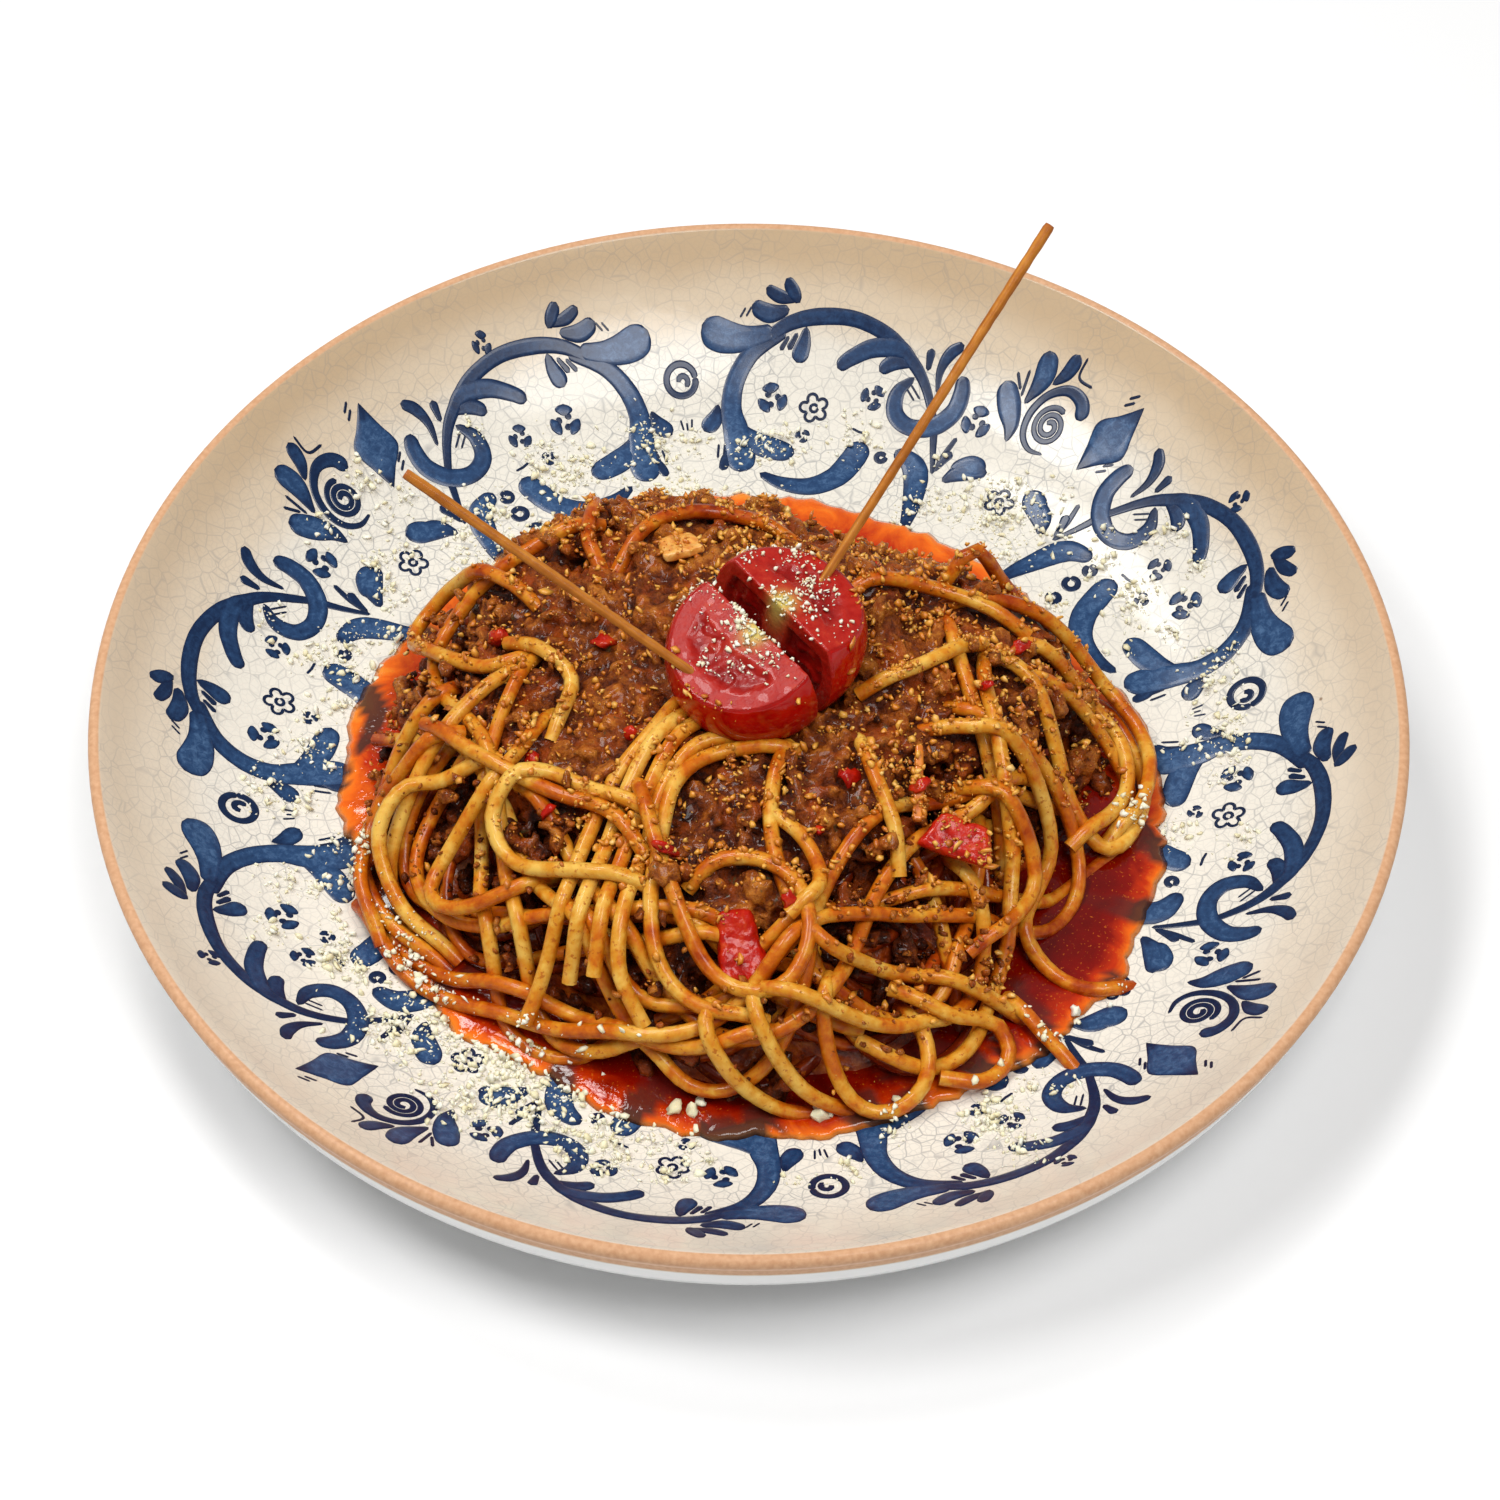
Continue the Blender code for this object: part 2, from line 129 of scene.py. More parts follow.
class Finish:
    """A Principled material and the few node calls that every finish here needs."""

    def __init__(self, name, roughness=0.5, coat=0.0, coat_roughness=0.03, subsurface=0.0,
                 subsurface_radius=(0.003, 0.0015, 0.001), specular=0.5):
        self.material = bpy.data.materials.new(name)
        self.material.use_nodes = True
        self.tree = self.material.node_tree
        self.shader = self.tree.nodes["Principled BSDF"]
        self.put("Roughness", roughness)
        self.put("Coat Weight", coat)
        self.put("Coat Roughness", coat_roughness)
        self.put("Specular IOR Level", specular)
        self.put("Subsurface Weight", subsurface)
        self.put("Subsurface Radius", subsurface_radius)
        self.put("Subsurface Scale", 1.0)
        self.place = self.tree.nodes.new("ShaderNodeTexCoord").outputs["Object"]

    def put(self, socket, value):
        self.shader.inputs[socket].default_value = value

    def feed(self, socket, source):
        self.tree.links.new(source, self.shader.inputs[socket])

    def node(self, kind, output=0, settings=None, **inputs):
        """Add a node, link or set its inputs by name or index and return one of its outputs."""
        made = self.tree.nodes.new("ShaderNode" + kind)
        for key, value in (settings or {}).items():
            setattr(made, key, value)
        for key, value in inputs.items():
            socket = made.inputs[int(key[1:])] if key[0] == "i" and key[1:].isdigit() \
                else made.inputs[key.replace("_", " ")]
            if isinstance(value, bpy.types.NodeSocket):
                self.tree.links.new(value, socket)
            else:
                socket.default_value = value
        return made.outputs[output]

    def attribute(self, name):
        return self.node("Attribute", "Fac", {"attribute_name": name})

    def attribute_vector(self, name):
        return self.node("Attribute", "Vector", {"attribute_name": name})

    def noise(self, scale, detail=3.0, roughness=0.5, distortion=0.0):
        return self.node("TexNoise", "Fac", Vector=self.place, Scale=scale,
                         Detail=detail, Roughness=roughness, Distortion=distortion)

    def math(self, operation, first, second=0.0, clamp=False):
        return self.node("Math", 0, {"operation": operation, "use_clamp": clamp},
                         i0=first, i1=second)

    def blend(self, factor, first, second):
        """Blend two colours."""
        made = self.tree.nodes.new("ShaderNodeMix")
        made.data_type = "RGBA"
        for index, value in ((0, factor), (6, first), (7, second)):
            if isinstance(value, bpy.types.NodeSocket):
                self.tree.links.new(value, made.inputs[index])
            elif index == 0:
                made.inputs[index].default_value = value
            else:
                made.inputs[index].default_value = (*value, 1.0)
        return made.outputs[2]

    def ramp(self, factor, stops, smooth=False):
        """A colour ramp of (position, colour) or (position, number) stops."""
        made = self.tree.nodes.new("ShaderNodeValToRGB")
        band = made.color_ramp
        band.interpolation = "EASE" if smooth else "LINEAR"
        while len(band.elements) < len(stops):
            band.elements.new(0.5)
        for element, (position, colour) in zip(band.elements, stops):
            element.position = position
            element.color = (*colour, 1.0) if isinstance(colour, tuple) else (colour,) * 3 + (1.0,)
        self.tree.links.new(factor, made.inputs[0])
        return made.outputs[0]

    def bump(self, height, strength=0.3, distance=0.0005):
        normal = self.node("Bump", "Normal", Height=height, Strength=strength, Distance=distance)
        self.feed("Normal", normal)


def glaze_finish():
    """Crackle glaze, tan towards the rim, with the bare lip and the white outside; painted shade makes the
    back of the plate tanner and darker than the front.
    """
    finish = Finish("crackle glaze", roughness=0.30, coat=0.10, coat_roughness=0.05, specular=0.22)
    split = finish.tree.nodes.new("ShaderNodeSeparateXYZ")
    finish.tree.links.new(finish.place, split.inputs[0])
    along = finish.attribute("section")
    cloud = finish.noise(34, 4, 0.6)
    drift = finish.math("ADD", along, finish.math("MULTIPLY", finish.math("SUBTRACT", cloud, 0.5), 0.05))
    tan = finish.ramp(drift, [(0.0, (0.76, 0.735, 0.665)), (0.82, (0.75, 0.715, 0.63)),
                              (0.90, (0.66, 0.545, 0.40)), (0.96, (0.55, 0.41, 0.26)),
                              (1.0, (0.52, 0.38, 0.235))], smooth=True)
    # painted shade: the glaze is painted tanner and darker towards the back of the plate and paler cream
    # towards the front
    painted_back_shade = finish.math("ADD", finish.math("MULTIPLY", split.outputs["Y"], 4.0), 0.70, clamp=True)
    body = finish.blend(painted_back_shade, (0.82, 0.76, 0.66), tan)
    # a fine net of grey cracks at two sizes, bent by noise so that no cell is regular
    bent = finish.node("Mix", 1, {"data_type": "VECTOR"}, i0=0.0022, i4=finish.place,
                       i5=finish.node("TexNoise", "Color", Vector=finish.place, Scale=130.0, Detail=2.0))
    coarse = finish.node("TexVoronoi", "Distance", {"feature": "DISTANCE_TO_EDGE"}, Vector=bent,
                         Scale=300.0, Randomness=1.0)
    fine = finish.node("TexVoronoi", "Distance", {"feature": "DISTANCE_TO_EDGE"}, Vector=bent,
                       Scale=640.0, Randomness=1.0)
    crack = finish.math("MAXIMUM", finish.ramp(coarse, [(0.0, 1.0), (0.03, 0.5), (0.06, 0.0)]),
                        finish.math("MULTIPLY",
                                     finish.ramp(fine, [(0.0, 0.7), (0.05, 0.3), (0.12, 0.0)]), 0.55))
    faint = finish.math("MULTIPLY", crack, finish.ramp(finish.noise(60, 2), [(0.32, 0.22), (0.62, 0.62)]))
    faint = finish.math("MULTIPLY", faint, finish.ramp(along, [(0.84, 1.0), (0.92, 0.45)]))
    body = finish.blend(faint, body, (0.19, 0.20, 0.22))
    iron = finish.node("TexVoronoi", "Distance", Vector=finish.place, Scale=46.0, Randomness=1.0)
    body = finish.blend(finish.ramp(iron, [(0.0, 0.9), (0.022, 0.8), (0.032, 0.0)]), body,
                        (0.16, 0.07, 0.02))
    side = finish.attribute("outside")
    lip = finish.ramp(finish.noise(900, 3), [(0.3, (0.55, 0.29, 0.15)), (0.7, (0.66, 0.385, 0.22))])
    groove = finish.ramp(side, [(0.0, 0.0), (0.46, 0.0), (0.50, 0.45), (0.54, 0.0)])
    lip = finish.blend(groove, lip, (0.82, 0.60, 0.45))
    outer = finish.ramp(side, [(0.0, (0.5, 0.36, 0.2)), (0.69, (0.50, 0.36, 0.17)),
                               (0.71, (0.70, 0.66, 0.54)), (0.74, (0.86, 0.86, 0.84)),
                               (1.0, (0.88, 0.88, 0.87))])
    is_lip = finish.ramp(side, [(0.09, 0.0), (0.13, 1.0), (0.68, 1.0), (0.72, 0.0)])
    is_outer = finish.ramp(side, [(0.68, 0.0), (0.70, 1.0)])
    colour = finish.blend(is_outer, body, outer)
    finish.feed("Base Color", finish.blend(is_lip, colour, lip))
    finish.feed("Roughness", finish.math("ADD", finish.math("MULTIPLY", is_lip, 0.45), 0.16))
    finish.bump(finish.math("ADD", finish.noise(90, 2),
                            finish.math("MULTIPLY", finish.noise(420, 2), 0.15)),
                0.30, 0.0006)
    return finish.material


def make_plate():
    """Spin the section once round and store where each point lies along it."""
    builder = bmesh.new()
    section = plate_section()
    verts = [builder.verts.new((r, 0.0, z)) for r, z in section]
    edges = [builder.edges.new(pair) for pair in zip(verts, verts[1:])]
    bmesh.ops.spin(builder, geom=verts + edges, axis=(0, 0, 1), cent=(0, 0, 0), steps=200,
                   angle=math.tau, use_merge=True)
    bmesh.ops.remove_doubles(builder, verts=builder.verts, dist=1e-6)
    bmesh.ops.recalc_face_normals(builder, faces=builder.faces)
    mesh = bpy.data.meshes.new("plate")
    builder.to_mesh(mesh)
    builder.free()
    places = points_of(mesh)
    radius, height = np.hypot(places[:, 0], places[:, 1]), places[:, 2]
    inner = height >= well_surface(radius) - 0.0002
    outside = np.where(inner & (radius < WALL_END + 0.0002), 0.0, 1.0)
    turn = np.arctan2(height - LIP_CENTRE[1], radius - LIP_CENTRE[0])
    near_lip = np.hypot(radius - LIP_CENTRE[0], height - LIP_CENTRE[1]) < LIP_RADIUS * 1.3
    # from 0.1 where the glaze ends inside, over the lip, to 1 some way down the outside
    rounded = 0.1 + 0.38 * (math.radians(125) - turn) / math.radians(150)
    below = LIP_SHARE + (1 - LIP_SHARE) * (LIP_CENTRE[1] - height) / FADE_DROP
    outside = np.where(near_lip & (turn > math.radians(-26)), rounded, outside)
    outside = np.where(~inner & ~near_lip, np.clip(below, LIP_SHARE, 1.0), outside)
    tag(mesh, "outside", outside)
    tag(mesh, "section", np.where(inner, radius / PLATE_RADIUS, 1.0))
    finish_piece("glazed_plate", mesh, [glaze_finish()], ["plate"])


make_plate()


# ---------------------------------------------------------------- painted scrollwork
# Blue slip trailed on the glaze by hand before the last firing, so each stroke stands a
# little proud, dark along its edges and paler where the brush left it thin. One pair of
# facing scrolls with a ring between them, and a spiral rose, repeat four times round.
RING_AZIMUTHS = (98.6, 8.6, -81.4, -171.4)
STROKE_LIFT = 0.11              # height of a stroke's back against its half width
STROKE_FILL = 0.66              # half width of a stroke against the width given for it
STROKE_STEP = 0.45              # longest step along a stroke, in mm
STROKE_STEPS = 9                # least number of steps in a short stroke
TREFOIL_SCALE = 1.5             # size of a trefoil against the size given for it
strokes = []


def smooth_path(points, spacing):
    """Points along a smooth curve through a few chosen ones, evenly spaced."""
    rows = np.asarray(points, dtype=float)
    rows = np.vstack((2 * rows[:1] - rows[1:2], rows, 2 * rows[-1:] - rows[-2:-1]))
    fine = []
    for before, start, end, after in zip(rows, rows[1:], rows[2:], rows[3:]):
        t = np.linspace(0, 1, 12, endpoint=False)[:, None]
        fine.append(0.5 * (2 * start + (end - before) * t
                           + (2 * before - 5 * start + 4 * end - after) * t ** 2
                           + (3 * start - before - 3 * end + after) * t ** 3))
    fine = np.vstack(fine + [rows[-2:-1]])
    run = np.concatenate(([0.0], np.cumsum(np.linalg.norm(np.diff(fine[:, :2], axis=0), axis=1))))
    steps = np.linspace(0, run[-1], max(int(run[-1] / spacing), 3) + 1)
    return np.stack([np.interp(steps, run, fine[:, k]) for k in range(fine.shape[1])], axis=1)


def stroke(*points, ends="rr"):
    """Add a stroke through (x, y, width) points; each end is round (r) or pointed (p)."""
    length = sum(math.dist(here[:2], there[:2]) for here, there in zip(points, points[1:]))
    line = smooth_path(points, min(STROKE_STEP, length / STROKE_STEPS))
    run = np.concatenate(([0.0], np.cumsum(np.linalg.norm(np.diff(line[:, :2], axis=0), axis=1))))
    half = line[:, 2] * STROKE_FILL
    for kind, away in ((ends[0], run), (ends[1], run[-1] - run)):
        reach = half[0] if away is run else half[-1]
        near = np.clip(away / max(reach, 0.3), 0, 1)
        half = half * (np.sqrt(1 - (1 - near) ** 2) if kind == "r" else near)
    strokes.append(np.column_stack((line[:, :2], np.maximum(half, 0.02))))


def ring(x, y, radius, width, turns=1.02, inner=None, start=0.0):
    """A ring, or a spiral that winds in to an inner radius."""
    count = max(int(turns * 14), 8)
    angles = start + np.linspace(0, turns * math.tau, count)
    radii = np.linspace(radius, radius if inner is None else inner, count)
    stroke(*[(x + r * math.cos(a), y + r * math.sin(a), width) for a, r in zip(angles, radii)])


def trefoil(x, y, size, turn=90):
    """Three lobes round a small bare middle."""
    size *= TREFOIL_SCALE
    for third in range(3):
        angle = math.radians(turn + 120 * third)
        out = (math.cos(angle), math.sin(angle))
        stroke((x + 0.45 * size * out[0], y + 0.45 * size * out[1], size * 0.8),
               (x + 1.1 * size * out[0], y + 1.1 * size * out[1], size * 1.55),
               (x + 1.5 * size * out[0], y + 1.5 * size * out[1], size * 1.3))
        side = angle + math.radians(60)
        stroke((x + 0.5 * size * math.cos(angle), y + 0.5 * size * math.sin(angle), size * 0.5),
               (x + 0.75 * size * math.cos(side), y + 0.75 * size * math.sin(side), size * 0.5))


def small_flower(x, y, size):
    """Five outlined petals round an outlined eye."""
    ring(x, y, size * 0.42, size * 0.3)
    for petal in range(5):
        angle = math.radians(90 + 72 * petal)
        ring(x + size * 1.05 * math.cos(angle), y + size * 1.05 * math.sin(angle), size * 0.55,
             size * 0.3, turns=0.72, start=angle - math.radians(130))


def scroll(left):
    """One C scroll with its club leaf, branch leaves, crook and sprigs, for the right side."""
    stroke((23, 113.6, 2.4), (16, 113.2, 4.0), (10, 114.6, 5.4), (6.2, 117.0, 4.6), ends="pr")
    stroke((20, 112.2, 2.2), (26, 114.4, 2.4), (33, 114.3, 2.6), (41, 112, 2.4), (48, 107, 2.4),
           (52.5, 100.5, 2.2), (54.4, 95, 1.8), (55, 87.5, 1.4))
    stroke((25, 113, 1.6), (17, 110.4, 3.0), (12.4, 105.5, 3.5), (10.5, 99.5, 3.9), (10.8, 94, 4.8),
           (11.0, 88, 5.4), (10.2, 83, 4.4))
    stroke((11.5, 95.5, 1.4), (14.6, 90.8, 4.4), (19, 88, 4.6), (23, 86.4, 3.4), ends="pr")
    stroke((10.5, 91, 2), (7.6, 87, 2.2), (6.2, 84, 1.4))
    for x in (5.9, 7.3):
        stroke((x + 0.6, 91.4, 0.5), (x - 0.2, 87.6, 0.5))
    stroke((29.8, 113.2, 1.0), (28.6, 110, 2.8), (26.5, 106.8, 3.6), ends="pr")
    stroke((27.6, 112.4, 0.8), (25.0, 109.6, 1.3))
    stroke((25.6, 112.2, 0.7), (23.2, 109.8, 1.0))
    stroke((53.2, 100.6, 1.2), (49.5, 104.4, 3.0), (44, 105.9, 3.1), (39, 105.3, 2.8), (35.4, 104, 2.4),
           ends="pr")
    stroke((53, 100.4, 1.0), (48, 102, 2.6), (44.6, 101.2, 2.2), ends="pr")
    stroke((55.3, 98.4, 0.9), (56.8, 102.4, 2.0))
    stroke((56.6, 93.4, 0.6), (58, 97.6, 1.6), (60.6, 100.1, 2.3), (63.9, 100.7, 1.6), ends="pr")
    stroke((52.2, 98, 1.0), (48, 95.8, 2.8), (46.8, 91.5, 3.2), (49.5, 87.8, 3.2), (54.5, 86.6, 3.5),
           (59.5, 88.4, 3.5), (62, 92, 3.2), (62.4, 95.2, 2.2), ends="pr")
    for x in (49.9, 51.2):
        stroke((x, 96.8, 0.4), (x + 1.5, 93.2, 0.4))
    stroke((55, 87, 1.6), (53.9, 82, 1.3), (52.6, 75.5, 0.8), ends="rp")
    stroke((59.4, 82.8, 0.9), (56, 79.6, 1.1), (53.2, 76.4, 0.6))
    stroke((57.8, 79.9, 2.0), (55.4, 78.2, 1.6), (53.2, 76, 0.5), ends="rp")
    stroke((54.4, 73.2, 1.2), (59, 74.4, 3.6), (64.6, 73, 2.2))
    stroke((45.6, 83.2, 2.4), (49, 77.5, 4.6), (47, 69, 3.6), (43.6, 61, 1.6))
    stroke((38.8, 86.6, 4.2), (35.4, 82.4, 4.7), (31, 78.4, 4.6), (25, 76.6, 4.2), (19, 78.4, 3.2),
           (14.4, 82.2, 1.4), ends="rp")
    stroke((39.8, 88.4, 0.5), (37.6, 89.6, 0.5))
    stroke((38.6, 88.9, 0.5), (36.8, 90.4, 0.5))
    stroke((28.9, 117.6, 1.2), (27.8, 119.6, 2.4), (26.3, 122.2, 1.8))
    stroke((28.2, 118.2, 0.9), (24.5, 119.5, 2.1), (21.6, 121.4, 1.6))
    stroke((26.4, 116.9, 1.3), (21.8, 116.9, 2.9), (18, 119, 2.4))
    for x in (15.0, 16.4):
        stroke((x, 117.2, 0.4), (x + 1.6, 118.8, 0.4))
    stroke((7.7, 100.8, 0.6), (6.2, 97.4, 3.2), (3.6, 94.9, 3.0), ends="pr")
    stroke((1.3, 98.2, 0.4), (0.9, 95.6, 0.4))
    if left:
        trefoil(44.2, 114.0, 1.05)
        trefoil(27.4, 99.6, 1.65)
        trefoil(38, 96.2, 1.25)
        trefoil(32, 91.3, 0.8, turn=-90)
        for x, y, radius in ((42.6, 82, 1.1), (40.2, 77.4, 1.5), (37, 72.8, 1.2)):
            ring(x, y, radius, 1.2)
    else:
        trefoil(20, 100.3, 1.6)
        small_flower(29, 96.6, 2.0)
        trefoil(42.4, 96.2, 1.3, turn=30)
        trefoil(25.5, 90.6, 0.8, turn=-90)
        ring(42, 82, 1.0, 1.1)


def rose():
    """Spiral rose with three club leaves, a trefoil and a lozenge; drawn upright."""
    stroke((6.6, 115.2, 3.0), (4.6, 118.2, 2.4), (0.6, 119.0, 1.8), (-3.2, 116.6, 1.5),
           (-4.9, 112.4, 1.5), (-4.0, 108.2, 1.3), (-1, 105.9, 1.0), (2.6, 106.2, 0.5), ends="rp")
    ring(0.6, 111.6, 3.9, 1.05, turns=2.3, inner=0.7, start=1.1)
    stroke((-7.9, 123.4, 3.2), (-6.2, 119.2, 3.9), (-7.2, 113.2, 0.7), ends="rp")
    stroke((-13.8, 115, 3.4), (-10.2, 111.6, 4.3), (-7.4, 108.4, 3.0), (-6.3, 105, 0.6), ends="rp")
    stroke((-1, 125.2, 2.6), (-1.6, 121.8, 2.6), (-3.6, 118.6, 0.8), ends="rp")
    stroke((-9.9, 119, 0.6), (-8.7, 114, 0.6))
    stroke((-12.2, 117.6, 0.6), (-9.6, 115, 0.6))
    stroke((1.0, 125.4, 0.5), (1.3, 121.8, 0.5), (5.2, 121.2, 0.5))
    stroke((11.4, 106.6, 0.2), (13.1, 110.4, 4.3), (14.9, 114.2, 8.2), (16.7, 118, 4.3),
           (18.4, 121.8, 0.2), ends="pp")
    for x, y in ((13.8, 120.8), (14.2, 122.2), (15.6, 107.8), (16.4, 109.4)):
        stroke((x, y, 0.5), (x + 2.2, y + 1.2, 0.5))
    trefoil(-14.6, 105.4, 1.6, turn=100)
    stroke((-13.4, 93.6, 2.4), (-10, 96.6, 4.2), (-6.4, 97.4, 3.0))
    stroke((4.6, 98, 3.0), (8.2, 95.8, 4.4), (12.6, 91.2, 1.2), ends="rp")
    small_flower(0.6, 92.6, 2.0)


def lay_strokes(draw, azimuth, mirror=1):
    """Draw with the given function, then turn what it drew to its place on the plate."""
    first = len(strokes)
    draw()
    turn = math.radians(azimuth - 90)
    for line in strokes[first:]:
        x, y = line[:, 0] * mirror, line[:, 1].copy()
        line[:, 0] = x * math.cos(turn) - y * math.sin(turn)
        line[:, 1] = x * math.sin(turn) + y * math.cos(turn)


def draw_ring():
    """The ring between two scrolls, with a curl inside, and the hatching below it."""
    ring(0, 106.8, 3.3, 1.3)
    ring(0.2, 106.7, 1.5, 1.1, turns=0.8, inner=0.5, start=-1.2)
    stroke((0, 97.4, 0.4), (0, 95.4, 0.4))


def slip_finish():
    """Cobalt slip: navy at the edges, brushed paler along the back of broad strokes."""
    finish = Finish("cobalt slip", roughness=0.28, coat=0.12, coat_roughness=0.08, specular=0.3)
    lift = finish.attribute("lift")
    brush = finish.noise(620, 5, 0.75, 0.5)
    tone = finish.math("ADD", finish.math("MULTIPLY", lift, 0.80),
                       finish.math("MULTIPLY", finish.math("SUBTRACT", brush, 0.5), 1.0), clamp=True)
    blue = finish.ramp(tone, [(0.0, (0.001, 0.007, 0.032)), (0.42, (0.004, 0.019, 0.066)),
                              (0.76, (0.018, 0.056, 0.145)), (1.0, (0.070, 0.145, 0.28))])
    finish.feed("Base Color", blue)
    finish.bump(brush, 0.12, 0.0003)
    return finish.material


def make_scrollwork():
    """Sweep a low rounded section along every stroke and bend the whole drawing to the plate."""
    section = bpy.data.curves.new("stroke section", "CURVE")
    low = section.splines.new("POLY")
    shape = [(-1, -0.06), (-0.82, 0.07), (-0.45, STROKE_LIFT), (0.0, STROKE_LIFT * 0.86),
             (0.45, STROKE_LIFT), (0.82, 0.07), (1, -0.06)]
    low.points.add(len(shape) - 1)
    for point, (x, y) in zip(low.points, shape):
        point.co = (x, y, 0, 1)
    section_guide = bpy.data.objects.new("stroke section", section)
    curve = bpy.data.curves.new("scrollwork", "CURVE")
    curve.dimensions = "2D"
    curve.bevel_mode = "OBJECT"
    curve.bevel_object = section_guide
    for line in strokes:
        spline = curve.splines.new("POLY")
        spline.points.add(len(line) - 1)
        flat = np.column_stack((line[:, :2], np.zeros(len(line)), np.ones(len(line))))
        spline.points.foreach_set("co", flat.ravel())
        spline.points.foreach_set("radius", line[:, 2])
    guide = bpy.data.objects.new("scrollwork guide", curve)
    bpy.context.scene.collection.objects.link(section_guide)
    bpy.context.scene.collection.objects.link(guide)
    mesh = bpy.data.meshes.new_from_object(guide.evaluated_get(bpy.context.evaluated_depsgraph_get()))
    for used in (guide, section_guide):
        bpy.data.objects.remove(used, do_unlink=True)
    mesh.materials.clear()
    places = points_of(mesh)
    lift = places[:, 2].copy()
    places *= MM
    radius = np.hypot(places[:, 0], places[:, 1])
    slope = np.arctan(2 * WALL_RISE * np.maximum(radius - WELL_RADIUS, 0))
    rise = np.where(lift < 0, -0.06, np.minimum(0.06 + 0.35 * lift, 0.22)) * MM
    inward = places[:, :2] / radius[:, None]
    places[:, :2] -= inward * (rise * np.sin(slope))[:, None]
    places[:, 2] = well_surface(radius) + rise * np.cos(slope)
    set_points(mesh, places)
    tag(mesh, "lift", np.clip(lift / 0.26, 0, 1))
    finish_piece("blue_scrollwork", mesh, [slip_finish()])


for azimuth in RING_AZIMUTHS:
    lay_strokes(draw_ring, azimuth)
    lay_strokes(lambda: scroll(left=False), azimuth)
    lay_strokes(lambda: scroll(left=True), azimuth, mirror=-1)
    lay_strokes(rose, azimuth - 45)
make_scrollwork()


# ---------------------------------------------------------------- the pool of sauce
# Tomato sauce and orange oil that ran out of the heap: deep red where it stands, thin and
# orange at the ragged edges, where the dark scrollwork shows through it.
FOOD_MIDDLE = (0.0, -0.006)
POOL_MEAN = 0.0853
POOL_WAVES = ((1, 0.0016, -67), (2, 0.0028, -32), (4, 0.0007, -4))
POOL_LEVEL = WELL_HEIGHT + 0.0020


def wavy_radius(angle, mean, waves):
    """Radius of a lobed outline: a mean and a few waves round the circle."""
    return mean + sum(size * np.cos(count * (angle - math.radians(phase)))
                      for count, size, phase in waves)


def share_out(x, y, outline):
    """Distance from the food's middle as a share of an outline, and the angle."""
    angle = np.arctan2(y - FOOD_MIDDLE[1], x - FOOD_MIDDLE[0])
    return np.hypot(x - FOOD_MIDDLE[0], y - FOOD_MIDDLE[1]) / outline(angle), angle


def rough_noise(x, y, scale, seed=0.0, z=None):
    """Smooth noise from -1 to 1 at each of the given places."""
    heights = np.zeros_like(x) if z is None else z
    return np.array([noise.noise(Vector((a * scale, b * scale, c * scale + seed)))
                     for a, b, c in zip(x, y, heights)])


def pool_outline(angle):
    """Edge of the pool: lobes, tongues and a fine ragged fringe."""
    flat = np.atleast_1d(angle)
    tongues = rough_noise(np.cos(flat), np.sin(flat), 5.0, 3.0) * 0.0030
    fringe = rough_noise(np.cos(flat), np.sin(flat), 24.0, 7.0) * 0.0020
    return wavy_radius(angle, POOL_MEAN, POOL_WAVES) + (tongues + fringe).reshape(np.shape(angle)) - 0.0006


def layer(segments, rings, outline, top, bottom, spread=1.0):
    """A closed layer of food, made by spreading a ball's halves over a top and an underside."""
    builder = bmesh.new()
    bmesh.ops.create_uvsphere(builder, u_segments=segments, v_segments=rings, radius=1.0)
    mesh = bpy.data.meshes.new("layer")
    builder.to_mesh(mesh)
    builder.free()
    ball = points_of(mesh)
    polar = np.arccos(np.clip(ball[:, 2], -1, 1))
    share = (2 * np.minimum(polar, math.pi - polar) / math.pi) ** spread
    angle = np.arctan2(ball[:, 1], ball[:, 0])
    reach = share * outline(angle)
    x = FOOD_MIDDLE[0] + reach * np.cos(angle)
    y = FOOD_MIDDLE[1] + reach * np.sin(angle)
    set_points(mesh, np.column_stack((x, y, np.where(polar > math.pi / 2 + 1e-4,
                                                     bottom(x, y), top(x, y)))))
    builder = bmesh.new()
    builder.from_mesh(mesh)
    bmesh.ops.recalc_face_normals(builder, faces=builder.faces)
    builder.to_mesh(mesh)
    builder.free()
    return mesh


def sauce_finish():
    """Red sauce that turns orange where it is thin and black over the dark strokes."""
    finish = Finish("oily tomato sauce", roughness=0.07, coat=0.30, coat_roughness=0.03,
                    specular=0.25)
    depth = finish.math("ADD", finish.attribute("depth"),
                        finish.math("MULTIPLY",
                                     finish.math("SUBTRACT", finish.noise(95, 4, 0.62, 0.8), 0.5), 0.7),
                        clamp=True)
    sauce = finish.ramp(depth, [(0.0, (0.84, 0.25, 0.020)), (0.18, (0.78, 0.13, 0.005)),
                                (0.36, (0.47, 0.026, 0.001)), (0.58, (0.20, 0.003, 0.0002)),
                                (1.0, (0.085, 0.0006, 0.0001))])
    specks = finish.ramp(finish.noise(1500, 2, 0.5), [(0.64, 0.0), (0.72, 0.55)])
    sauce = finish.blend(specks, sauce, (0.62, 0.15, 0.01))
    under = finish.math("MULTIPLY", finish.math("MULTIPLY", finish.attribute("under"), 0.88),
                        finish.ramp(depth, [(0.3, 1.0), (0.75, 0.25)]))
    finish.feed("Base Color", finish.blend(under, sauce, (0.016, 0.018, 0.016)))
    ripple = finish.math("ADD", finish.noise(170, 3, 0.6, 0.5),
                         finish.math("MULTIPLY", finish.noise(900, 2), 0.12))
    finish.bump(ripple, 0.45, 0.0012)
    return finish.material


